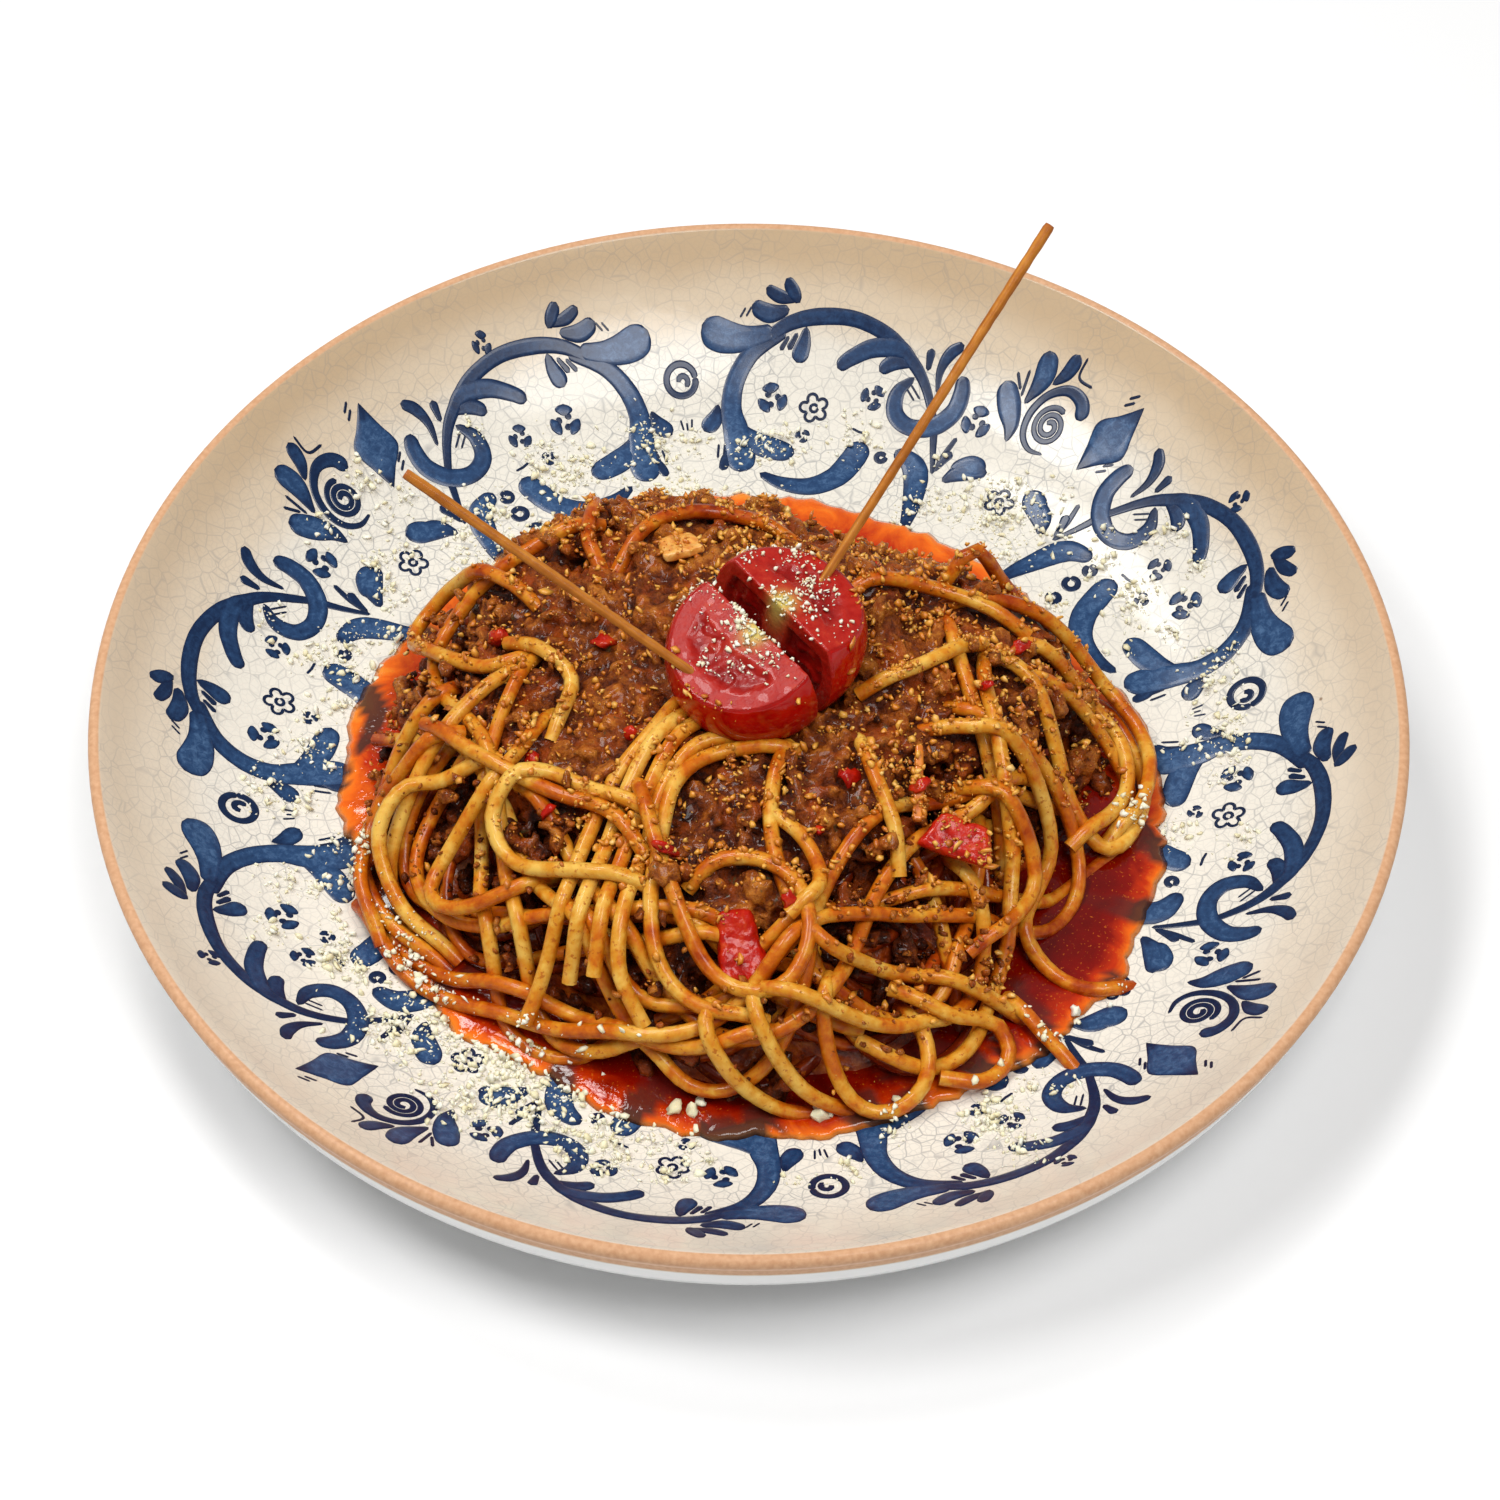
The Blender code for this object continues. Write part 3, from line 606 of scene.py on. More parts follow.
def pool_top(x, y):
    """Level surface that swells up to the edge and then drops to the glaze."""
    share, _ = share_out(x, y, pool_outline)
    floor = well_surface(np.hypot(x, y))
    rounded = np.sqrt(np.maximum(1 - share ** 14, 0))
    film = np.minimum(POOL_LEVEL - floor + 0.0004, 0.0021)
    swell = 0.0002 * rough_noise(x, y, 160.0)
    return floor + 0.0002 + np.maximum(film + swell, 0.0006) * rounded


def make_pool():
    mesh = layer(300, 72, pool_outline, pool_top,
                 lambda x, y: well_surface(np.hypot(x, y)) + 0.0001, spread=0.6)
    places = points_of(mesh)
    share, angle = share_out(places[:, 0], places[:, 1], pool_outline)
    # deepest in the bay on the right and along the front, thin round the back
    deep = 0.36 + 0.46 * np.exp(-((angle - math.radians(-24)) / 0.42) ** 2) \
        + 0.36 * np.exp(-((angle - math.radians(-100)) / 0.75) ** 2)
    tag(mesh, "depth", deep * np.clip((1 - share) * 9, 0, 1) ** 0.6)
    samples = np.vstack(strokes)
    near = samples[np.hypot(samples[:, 0], samples[:, 1]) < 97]
    tree = KDTree(len(near))
    for index, (sx, sy, _) in enumerate(near):
        tree.insert((sx, sy, 0), index)
    tree.balance()
    under = np.zeros(len(places))
    for index in np.flatnonzero(share > 0.8):
        _, found, away = tree.find((places[index, 0] / MM, places[index, 1] / MM, 0))
        under[index] = np.clip((near[found, 2] - away) / 0.4 + 0.6, 0, 1)
    tag(mesh, "under", under)
    finish_piece("pool_of_sauce", mesh, [sauce_finish()], ["sauce_pool"])


make_pool()


# ---------------------------------------------------------------- spaghetti
# Boiled spaghetti a little over 3 mm thick, tipped on the plate in a loose heap and coated
# with orange oil. Every strand is laid on those before it, so the heap is piled up strand
# by strand over a small dark core, and the last ones are the loops seen at the front.
HEAP_MEAN = 0.0800
HEAP_WAVES = ((1, 0.0019, -134), (2, 0.0033, -22), (3, 0.0021, 31), (4, 0.0023, 14), (5, 0.0007, -18))
BAY_ANGLE, BAY_WIDTH, BAY_DEPTH = math.radians(-22), math.radians(11), 0.017
HEAP_FOOT = WELL_HEIGHT + 0.0026
HEAP_HEIGHT = 0.0270
HUMPS = ((-0.030, 0.044, 0.017, 0.0050), (0.004, 0.012, 0.024, 0.0045), (0.040, -0.008, 0.022, 0.0020))
TOMATO_RADIUS = 0.0179
TOMATO_SPOTS = ((0.0008, -0.0046, 0.0500), (0.0060, 0.0014, 0.0500))
STRAND = 0.0016                 # radius of one strand
CORE_DEPTH = 0.0178             # thickness of strands over the core
SAUCE_BELOW = 0.0012            # sauce in the gaps, below the mean height of the strands
CELL = 0.0005                   # grid of the height map
REACH = 0.105


# the strands stop short of the outline at the far right, where thin sauce shows
FAR_ANGLE, FAR_WIDTH, FAR_DEPTH = math.radians(62), 0.52, 0.0070


def heap_outline(angle):
    """Outline of the spaghetti, with the bay where the pool shows."""
    turn = (angle - BAY_ANGLE + math.pi) % math.tau - math.pi
    far_side = np.exp(-(((angle - FAR_ANGLE + math.pi) % math.tau - math.pi) / FAR_WIDTH) ** 2)
    return wavy_radius(angle, HEAP_MEAN, HEAP_WAVES) \
        - BAY_DEPTH * np.exp(-turn ** 2 / (2 * BAY_WIDTH ** 2)) \
        - FAR_DEPTH * far_side


def heap_surface(x, y):
    """Top of the heap: a flattened dome with humps."""
    share, _ = share_out(x, y, heap_outline)
    inside = np.maximum(1 - share ** 2.6, 0.0)
    height = HEAP_FOOT + HEAP_HEIGHT * inside ** 0.72
    for hump_x, hump_y, width, rise in HUMPS:
        away = (x - hump_x) ** 2 + (y - hump_y) ** 2
        height = height + rise * np.exp(-away / (2 * width ** 2)) * np.minimum(2 * inside, 1)
    for spot_x, spot_y, spot_z in TOMATO_SPOTS:
        room = np.maximum((TOMATO_RADIUS + 0.001) ** 2 - (x - spot_x) ** 2 - (y - spot_y) ** 2, 0)
        height = np.where(room > 0, np.minimum(height, spot_z - np.sqrt(room) - 0.002), height)
    return height


class Relief:
    """Height map of all that lies on the plate, on which the next thing comes to rest."""

    def __init__(self):
        self.count = int(2 * REACH / CELL)
        line = (np.arange(self.count) + 0.5) * CELL - REACH
        self.x, self.y = np.meshgrid(line, line, indexing="ij")
        self.z = well_surface(np.hypot(self.x, self.y))

    def window(self, x, y, radius):
        """Cells and their distances from each place, for all within reach of a radius."""
        span = int(radius / CELL) + 1
        steps = np.arange(-span, span + 1)
        i = np.clip(((x + REACH) / CELL).astype(int)[:, None, None] + steps[None, :, None],
                    0, self.count - 1)
        j = np.clip(((y + REACH) / CELL).astype(int)[:, None, None] + steps[None, None, :],
                    0, self.count - 1)
        i, j = np.broadcast_arrays(i, j)
        away = np.hypot(self.x[i, j] - x[:, None, None], self.y[i, j] - y[:, None, None])
        return i, j, away

    def under(self, x, y, radius, part=1.0):
        """Height that the highest thing under each disc reaches, or a share of the discs' cells."""
        i, j, away = self.window(x, y, radius)
        heights = np.where(away < radius, self.z[i, j], -1.0).reshape(len(x), -1)
        if part == 1.0:
            return heights.max(axis=1)
        heights = np.where(heights < 0, np.nan, heights)
        return np.nanquantile(heights, part, axis=1)

    def press(self, x, y, z, radius):
        """Raise the map by balls of the given middles and radii."""
        span = float(np.max(radius))
        i, j, away = self.window(x, y, span)
        radius = np.broadcast_to(radius, x.shape)[:, None, None]
        tops = z[:, None, None] + np.sqrt(np.maximum(radius ** 2 - away ** 2, 0))
        np.maximum.at(self.z, (i, j), np.where(away < radius, tops, -1.0))

    def cover(self, places):
        """Raise the map to a finely meshed thing that stands on it."""
        i = np.clip(((places[:, 0] + REACH) / CELL).astype(int), 0, self.count - 1)
        j = np.clip(((places[:, 1] + REACH) / CELL).astype(int), 0, self.count - 1)
        np.maximum.at(self.z, (i, j), places[:, 2])

    def blurred(self, cells):
        """The map averaged twice over a window of 2 cells + 1."""
        heights = self.z
        for axis in (0, 1, 0, 1):
            heights = np.apply_along_axis(running_blur, axis, heights, cells)
        return heights

    def read(self, heights, x, y):
        """A map's heights at the given places."""
        i = np.clip(((x + REACH) / CELL).astype(int), 0, self.count - 1)
        j = np.clip(((y + REACH) / CELL).astype(int), 0, self.count - 1)
        return heights[i, j]


relief = Relief()
core_share, _ = share_out(relief.x, relief.y, heap_outline)
core_top = np.minimum(heap_surface(relief.x, relief.y) - CORE_DEPTH, 1.0)
relief.z = np.where(core_share < 0.93, np.maximum(relief.z, core_top), relief.z)
dice = random.Random(11)
strand_paths = []


def running_blur(values, reach):
    """Average along a path over a window of 2 reach + 1 samples."""
    padded = np.concatenate((np.full(reach, values[0]), values, np.full(reach, values[-1])))
    return np.convolve(padded, np.ones(2 * reach + 1) / (2 * reach + 1), mode="valid")


def lay_strand(points, radius=STRAND, sink=0.15, dive=0.0032):
    """Drape one strand through plan points (x, y, lift) in metres; its ends dive in the heap."""
    line = smooth_path(points, 0.0012)
    rest = relief.under(line[:, 0], line[:, 1], radius * 0.8) + radius * (1 - sink)
    spread = np.concatenate((np.full(2, rest[0]), rest, np.full(2, rest[-1])))
    bridge = np.max([spread[k:k + len(rest)] for k in range(5)], axis=0)
    height = running_blur(running_blur(np.maximum(bridge - radius * 0.25, rest), 5), 4)
    height = np.maximum(height, rest - radius * 0.5) + line[:, 2]
    height = running_blur(running_blur(height, 2), 1)
    run = np.arange(len(height)) * 0.0012
    for away in (run, run[-1] - run):
        height -= dive * np.clip(1 - away / 0.008, 0, 1) ** 1.5
    relief.press(line[:, 0], line[:, 1], height, radius)
    strand_paths.append((np.column_stack((line[:, :2], height)), radius))


def wander(length, start_share=0.9):
    """Plan points of a strand that curls at random and turns back at the heap's edge."""
    angle = dice.uniform(0, math.tau)
    reach = math.sqrt(dice.uniform(0, start_share)) * float(heap_outline(angle))
    x, y = FOOD_MIDDLE[0] + reach * math.cos(angle), FOOD_MIDDLE[1] + reach * math.sin(angle)
    heading = dice.uniform(0, math.tau)
    bend = dice.choice((-1, 1)) / dice.uniform(0.018, 0.070)
    change, step, points = bend, 0.004, []
    for _ in range(int(length / step)):
        points.append((x, y, 0.0))
        if dice.random() < 0.05:
            change = dice.choice((-1, 1)) / dice.uniform(0.014, 0.080)
        bend += 0.2 * (change - bend)
        share = math.hypot(x - FOOD_MIDDLE[0], y - FOOD_MIDDLE[1]) \
            / float(heap_outline(math.atan2(y - FOOD_MIDDLE[1], x - FOOD_MIDDLE[0])))
        turn = bend
        if share > 0.62:
            home = math.atan2(FOOD_MIDDLE[1] - y, FOOD_MIDDLE[0] - x)
            off = (home - heading + math.pi) % math.tau - math.pi
            turn = bend * (1 - min((share - 0.62) * 5, 1)) \
                + math.copysign(min((share - 0.62) * 4, 1) / 0.016, off) * (abs(off) > 1.15)
        heading += turn * step
        x += math.cos(heading) * step
        y += math.sin(heading) * step
    return points


def pile_strands(count, tries, below=0.0, wanted=None):
    """Lay strands where the heap is still furthest below its shape."""
    for _ in range(count):
        best = None
        for _ in range(tries):
            path = wander(dice.uniform(0.11, 0.21))
            rows = np.array(path)
            lack = heap_surface(rows[:, 0], rows[:, 1]) - below \
                - relief.under(rows[:, 0], rows[:, 1], STRAND)
            share, _ = share_out(rows[:, 0], rows[:, 1], heap_outline)
            score = float(np.mean(np.where(lack < 0.002, 3 * (lack - 0.002), np.minimum(lack, 0.006))))
            score -= 0.02 * float(np.mean(share > 0.96))
            if wanted:
                score -= 0.02 * float(np.mean([not wanted(x, y) for x, y in rows[::3, :2]]))
            if best is None or score > best[0]:
                best = (score, path)
        lay_strand(best[1], radius=STRAND * dice.uniform(0.94, 1.05))


def pasta_finish():
    """Pale durum pasta, stained by orange oil in streaks, and darker where it dips into the heap, near the
    plate and towards the back: partly sauce, partly painted shade.
    """
    finish = Finish("boiled spaghetti", roughness=0.30, coat=0.22, coat_roughness=0.07,
                    subsurface=0.10, subsurface_radius=(0.0030, 0.0015, 0.0005), specular=0.2)
    streaks = finish.math("SUBTRACT", finish.noise(95, 4, 0.65, 0.4), 0.5)
    fine = finish.math("SUBTRACT", finish.noise(520, 3, 0.6), 0.5)
    stain_and_shade = finish.math("ADD", finish.attribute("stain_and_shade"),
                        finish.math("ADD", finish.math("MULTIPLY", streaks, 1.8),
                                    finish.math("MULTIPLY", fine, 0.55)), clamp=True)
    colour = finish.ramp(stain_and_shade, [(0.0, (0.76, 0.455, 0.080)), (0.28, (0.64, 0.265, 0.017)),
                                 (0.50, (0.55, 0.130, 0.003)), (0.76, (0.36, 0.045, 0.001)),
                                 (1.0, (0.18, 0.015, 0.001))])
    flecks = finish.ramp(finish.noise(800, 3, 0.6), [(0.60, 0.0), (0.66, 0.8)])
    finish.feed("Base Color", finish.blend(flecks, colour, (0.42, 0.095, 0.006)))
    finish.feed("Roughness", finish.math("SUBTRACT", 0.42, finish.math("MULTIPLY", stain_and_shade, 0.16)))
    finish.bump(finish.math("ADD", fine, finish.noise(1900, 2)), 0.14, 0.0003)
    return finish.material


def make_core():
    """Sauce and mince that fill the heap up to just under the strands, seen in the gaps."""
    level = relief.blurred(4)

    def top(x, y):
        uneven = 0.0004 * rough_noise(x, y, 260.0) + 0.0003 * rough_noise(x, y, 700.0)
        return np.maximum(relief.read(level, x, y) - SAUCE_BELOW + uneven,
                          well_surface(np.hypot(x, y)) + 0.0012)

    mesh = layer(190, 96, lambda angle: heap_outline(angle) * 0.95, top,
                 lambda x, y: well_surface(np.hypot(x, y)) + 0.0003)
    filled = relief.read(level, relief.x, relief.y) - SAUCE_BELOW
    relief.z = np.where(core_share < 0.93, np.maximum(relief.z, filled), relief.z)
    finish = Finish("sauce in the heap", roughness=0.3, coat=0.25, coat_roughness=0.1, specular=0.3)
    mottle = finish.ramp(finish.noise(330, 4, 0.68), [(0.34, (0.12, 0.010, 0.0008)),
                                                      (0.50, (0.30, 0.040, 0.002)),
                                                      (0.66, (0.48, 0.115, 0.008))])
    finish.feed("Base Color", mottle)
    finish.bump(finish.noise(700, 3), 0.6, 0.001)
    finish_piece("heap_core", mesh, [finish.material], ["spaghetti"])


def make_strands():
    """One mesh of all strands: a round section swept along each path."""
    curve = bpy.data.curves.new("spaghetti strands", "CURVE")
    curve.dimensions = "3D"
    curve.bevel_depth = 1.0
    curve.bevel_resolution = 2
    curve.use_fill_caps = True
    tree = KDTree(sum(len(path) for path, _ in strand_paths))
    shades, index = [], 0
    for path, radius in strand_paths:
        every = path[np.unique(np.linspace(0, len(path) - 1, max(len(path) // 2, 4)).astype(int))]
        spline = curve.splines.new("POLY")
        spline.points.add(len(every) - 1)
        spline.points.foreach_set("co", np.column_stack((every, np.ones(len(every)))).ravel())
        uneven = [radius * (1 + 0.04 * noise.noise(Vector(place) * 90)) for place in every]
        spline.points.foreach_set("radius", uneven)
        tone = dice.uniform(-0.14, 0.16)
        for place in path:
            tree.insert(place, index)
            shades.append(tone)
            index += 1
    tree.balance()
    guide = bpy.data.objects.new("strand guide", curve)
    bpy.context.scene.collection.objects.link(guide)
    mesh = bpy.data.meshes.new_from_object(guide.evaluated_get(bpy.context.evaluated_depsgraph_get()))
    bpy.data.objects.remove(guide, do_unlink=True)
    mesh.materials.clear()
    places = points_of(mesh)
    tone = np.array([shades[tree.find(place)[1]] for place in places])
    # painted shade mixed with sauce: strands are darker the deeper they lie under the heap's top and the
    # nearer they are to the plate, and darker towards the back of the heap
    height = heap_surface(places[:, 0], places[:, 1])
    sunk = np.clip((height - places[:, 2] - 0.0015) / 0.006, 0, 1)
    low = np.clip((0.0125 - places[:, 2]) / 0.004, 0, 1)
    share, angle = share_out(places[:, 0], places[:, 1], heap_outline)
    back = np.clip(np.sin(angle), 0, 1) * 0.30
    tag(mesh, "stain_and_shade", 0.32 + tone + 0.8 * sunk + 0.3 * low + back)
    finish_piece("spaghetti_strands", mesh, [pasta_finish()], ["spaghetti"])


pile_strands(56, 9, below=0.007)
make_core()


# ---------------------------------------------------------------- meat sauce
# Minced beef simmered with tomato until it clings together in crumbs of 2 to 5 mm; its colour
# has painted shade in the hollows and painted orange highlights on top. It is spooned over the
# middle and runs down the front in lobes, and single crumbs cling to the strands all round.
RAGU_REACH = 0.72
RAGU_LOBES = ((1, 0.17, 85), (2, 0.07, 60), (3, 0.05, 20), (5, 0.03, 40))


def ragu_outline(angle):
    """Edge of the meat sauce, out to the heap's edge at the back."""
    lobes = sum(size * np.cos(count * (angle - math.radians(phase))) for count, size, phase in RAGU_LOBES)
    return np.minimum(RAGU_REACH + lobes, 0.96) * heap_outline(angle)


def lumps(subdivisions, count, rough, flat=1.0):
    """A few irregular lumps, as rows of points, with the triangles that they share."""
    shapes = []
    for kind in range(count):
        builder = bmesh.new()
        bmesh.ops.create_icosphere(builder, subdivisions=subdivisions, radius=1.0)
        for vert in builder.verts:
            shift = Vector((9.1 * kind, 3.0 * rough, 0))
            vert.co *= 1 + rough * (noise.noise(vert.co * 1.2 + shift)
                                    + 0.7 * noise.noise(vert.co * 2.9 + shift))
        bmesh.ops.scale(builder, verts=builder.verts,
                        vec=(dice.uniform(0.9, 1.6), dice.uniform(0.65, 1.0),
                             flat * dice.uniform(0.55, 0.95)))
        mesh = bpy.data.meshes.new("lump")
        builder.to_mesh(mesh)
        builder.free()
        shapes.append(points_of(mesh))
        corners = np.array([tuple(face.vertices) for face in mesh.polygons])
        bpy.data.meshes.remove(mesh)
    return np.array(shapes), corners


def joined(name, shapes, corners, places, sizes):
    """One mesh of many lumps, each turned at random, with a tone for each of them."""
    generator = np.random.default_rng(len(places))
    turns = generator.normal(size=(len(places), 4))
    w, x, y, z = (turns / np.linalg.norm(turns, axis=1)[:, None]).T
    spin = np.stack([1 - 2 * (y * y + z * z), 2 * (x * y - z * w), 2 * (x * z + y * w),
                     2 * (x * y + z * w), 1 - 2 * (x * x + z * z), 2 * (y * z - x * w),
                     2 * (x * z - y * w), 2 * (y * z + x * w), 1 - 2 * (x * x + y * y)],
                    axis=1).reshape(-1, 3, 3)
    kinds = generator.integers(0, len(shapes), len(places))
    rows = np.einsum("nij,nvj->nvi", spin, shapes[kinds]) * np.asarray(sizes)[:, None, None]
    rows += np.asarray(places)[:, None, :]
    faces = corners[None] + (np.arange(len(places)) * shapes.shape[1])[:, None, None]
    mesh = bpy.data.meshes.new(name)
    mesh.vertices.add(rows.shape[0] * rows.shape[1])
    mesh.loops.add(faces.size)
    mesh.polygons.add(faces.size // 3)
    mesh.loops.foreach_set("vertex_index", faces.ravel().astype(np.int32))
    mesh.polygons.foreach_set("loop_start", np.arange(0, faces.size, 3, dtype=np.int32))
    set_points(mesh, rows.reshape(-1, 3))
    mesh.update(calc_edges=True)
    tones = generator.random(len(places))
    tag(mesh, "tone", np.repeat(tones, shapes.shape[1]))
    return mesh


def settle(x, y, size, sink=0.35):
    """Middle of a lump that has come to rest at a place, pressed in the map."""
    x, y = np.atleast_1d(x).astype(float), np.atleast_1d(y).astype(float)
    z = relief.under(x, y, size * 0.7 + CELL, part=0.6) + size * (1 - 2 * sink)
    relief.press(x, y, z, size)
    return float(x[0]), float(y[0]), float(z[0])


def ragu_share(x, y):
    """Share of the way to the meat sauce's edge, made uneven by noise."""
    share, _ = share_out(x, y, ragu_outline)
    return share + 0.13 * noise.noise(Vector((x, y, 0.4)) * 45) \
        + 0.07 * noise.noise(Vector((x, y, 2.0)) * 120)


def drop_crumbs(count, smallest, largest, inside, lift=0.0030):
    """Crumbs dropped one by one on the lowest of a few spots."""
    places, sizes = [], []
    for _ in range(count):
        best = None
        for _ in range(4):
            angle = dice.uniform(0, math.tau)
            reach = math.sqrt(dice.random()) * 0.97 * float(heap_outline(angle))
            x, y = FOOD_MIDDLE[0] + reach * math.cos(angle), FOOD_MIDDLE[1] + reach * math.sin(angle)
            if inside(x, y) and reach < 0.94 * float(heap_outline(angle)):
                i, j = int((x + REACH) / CELL), int((y + REACH) / CELL)
                lack = float(heap_surface(x, y)) + lift - relief.z[i, j]
                if best is None or lack > best[0]:
                    best = (lack, x, y)
        if best and best[0] > 0:
            size = smallest + (largest - smallest) * dice.random() ** 1.8
            places.append(settle(best[1], best[2], size))
            sizes.append(size)
    return places, sizes


def fused(mesh, voxel, share=1.0):
    """The mesh melted together on a fine grid, thinned out to a share of its triangles."""
    guide = bpy.data.objects.new("fusing", mesh)
    bpy.context.scene.collection.objects.link(guide)
    remesh = guide.modifiers.new("fusing", "REMESH")
    remesh.mode = "VOXEL"
    remesh.voxel_size = voxel
    if share < 1:
        guide.modifiers.new("thinning", "DECIMATE").ratio = share
    result = bpy.data.meshes.new_from_object(guide.evaluated_get(bpy.context.evaluated_depsgraph_get()))
    bpy.data.objects.remove(guide, do_unlink=True)
    return result


def meat_finish():
    """Browned mince in red sauce, with painted shade that makes the hollows black-brown and painted orange
    highlights on the tops.
    """
    finish = Finish("meat sauce", roughness=0.34, coat=0.24, coat_roughness=0.10, specular=0.2)
    grain = finish.math("SUBTRACT", finish.noise(520, 5, 0.78, 0.4), 0.5)
    broad = finish.math("SUBTRACT", finish.noise(60, 3, 0.6), 0.5)
    # painted light: points above the mean height are painted lighter and more orange, points in the hollows
    # darker, mixed with the mince's own grain
    painted_light_height = finish.attribute("painted_light_height")
    tone = finish.math("ADD", finish.math("ADD", finish.math("MULTIPLY", painted_light_height, 0.62), 0.18),
                       finish.math("ADD", finish.math("MULTIPLY", grain, 1.9),
                                   finish.math("MULTIPLY", broad, 0.9)), clamp=True)
    colour = finish.ramp(tone, [(0.0, (0.025, 0.003, 0.0004)), (0.25, (0.095, 0.014, 0.001)),
                                (0.50, (0.20, 0.040, 0.003)), (0.74, (0.35, 0.086, 0.006)),
                                (1.0, (0.55, 0.185, 0.020))])
    red = finish.ramp(finish.noise(140, 3, 0.6, 0.6), [(0.50, 0.0), (0.66, 0.70)])
    colour = finish.blend(red, colour, (0.40, 0.062, 0.003))
    herb = finish.ramp(finish.noise(430, 2, 0.5), [(0.68, 0.0), (0.74, 0.75)])
    colour = finish.blend(herb, colour, (0.075, 0.065, 0.022))
    finish.feed("Base Color", colour)
    finish.bump(finish.math("ADD", grain, finish.math("MULTIPLY", finish.noise(1500, 2), 0.3)), 0.9, 0.0012)
    return finish.material


def clear_of_dice(x, y):
    return all(math.hypot(x - bx, y - by) > 0.0075 for bx, by in ((-0.0014, -0.0630), (0.0420, -0.0385)))


def make_paste():
    """The sauce that binds the crumbs: a layer a little below their mean height."""
    level = relief.blurred(3)

    def top(x, y):
        share = np.array([ragu_share(a, b) for a, b in zip(x, y)])
        thinning = 0.0040 * np.clip((share - 0.86) / 0.16, 0, 1) ** 2
        return relief.read(level, x, y) - 0.0002 - thinning

    return layer(220, 110, ragu_outline, top, lambda x, y: relief.read(level, x, y) - 0.0045)


MEAT = meat_finish()
lump_shapes, lump_corners = lumps(2, 12, 0.75)
bit_shapes, bit_corners = lumps(1, 12, 0.6)
spots, sizes = drop_crumbs(2400, 0.0015, 0.0036,
                           lambda x, y: ragu_share(x, y) < 0.99 and clear_of_dice(x, y),
                           lift=0.0012)
fine_spots, fine_sizes = drop_crumbs(1900, 0.0008, 0.0020,
                                     lambda x, y: ragu_share(x, y) < 1.50 and clear_of_dice(x, y),
                                     lift=0.0006)
paste = make_paste()


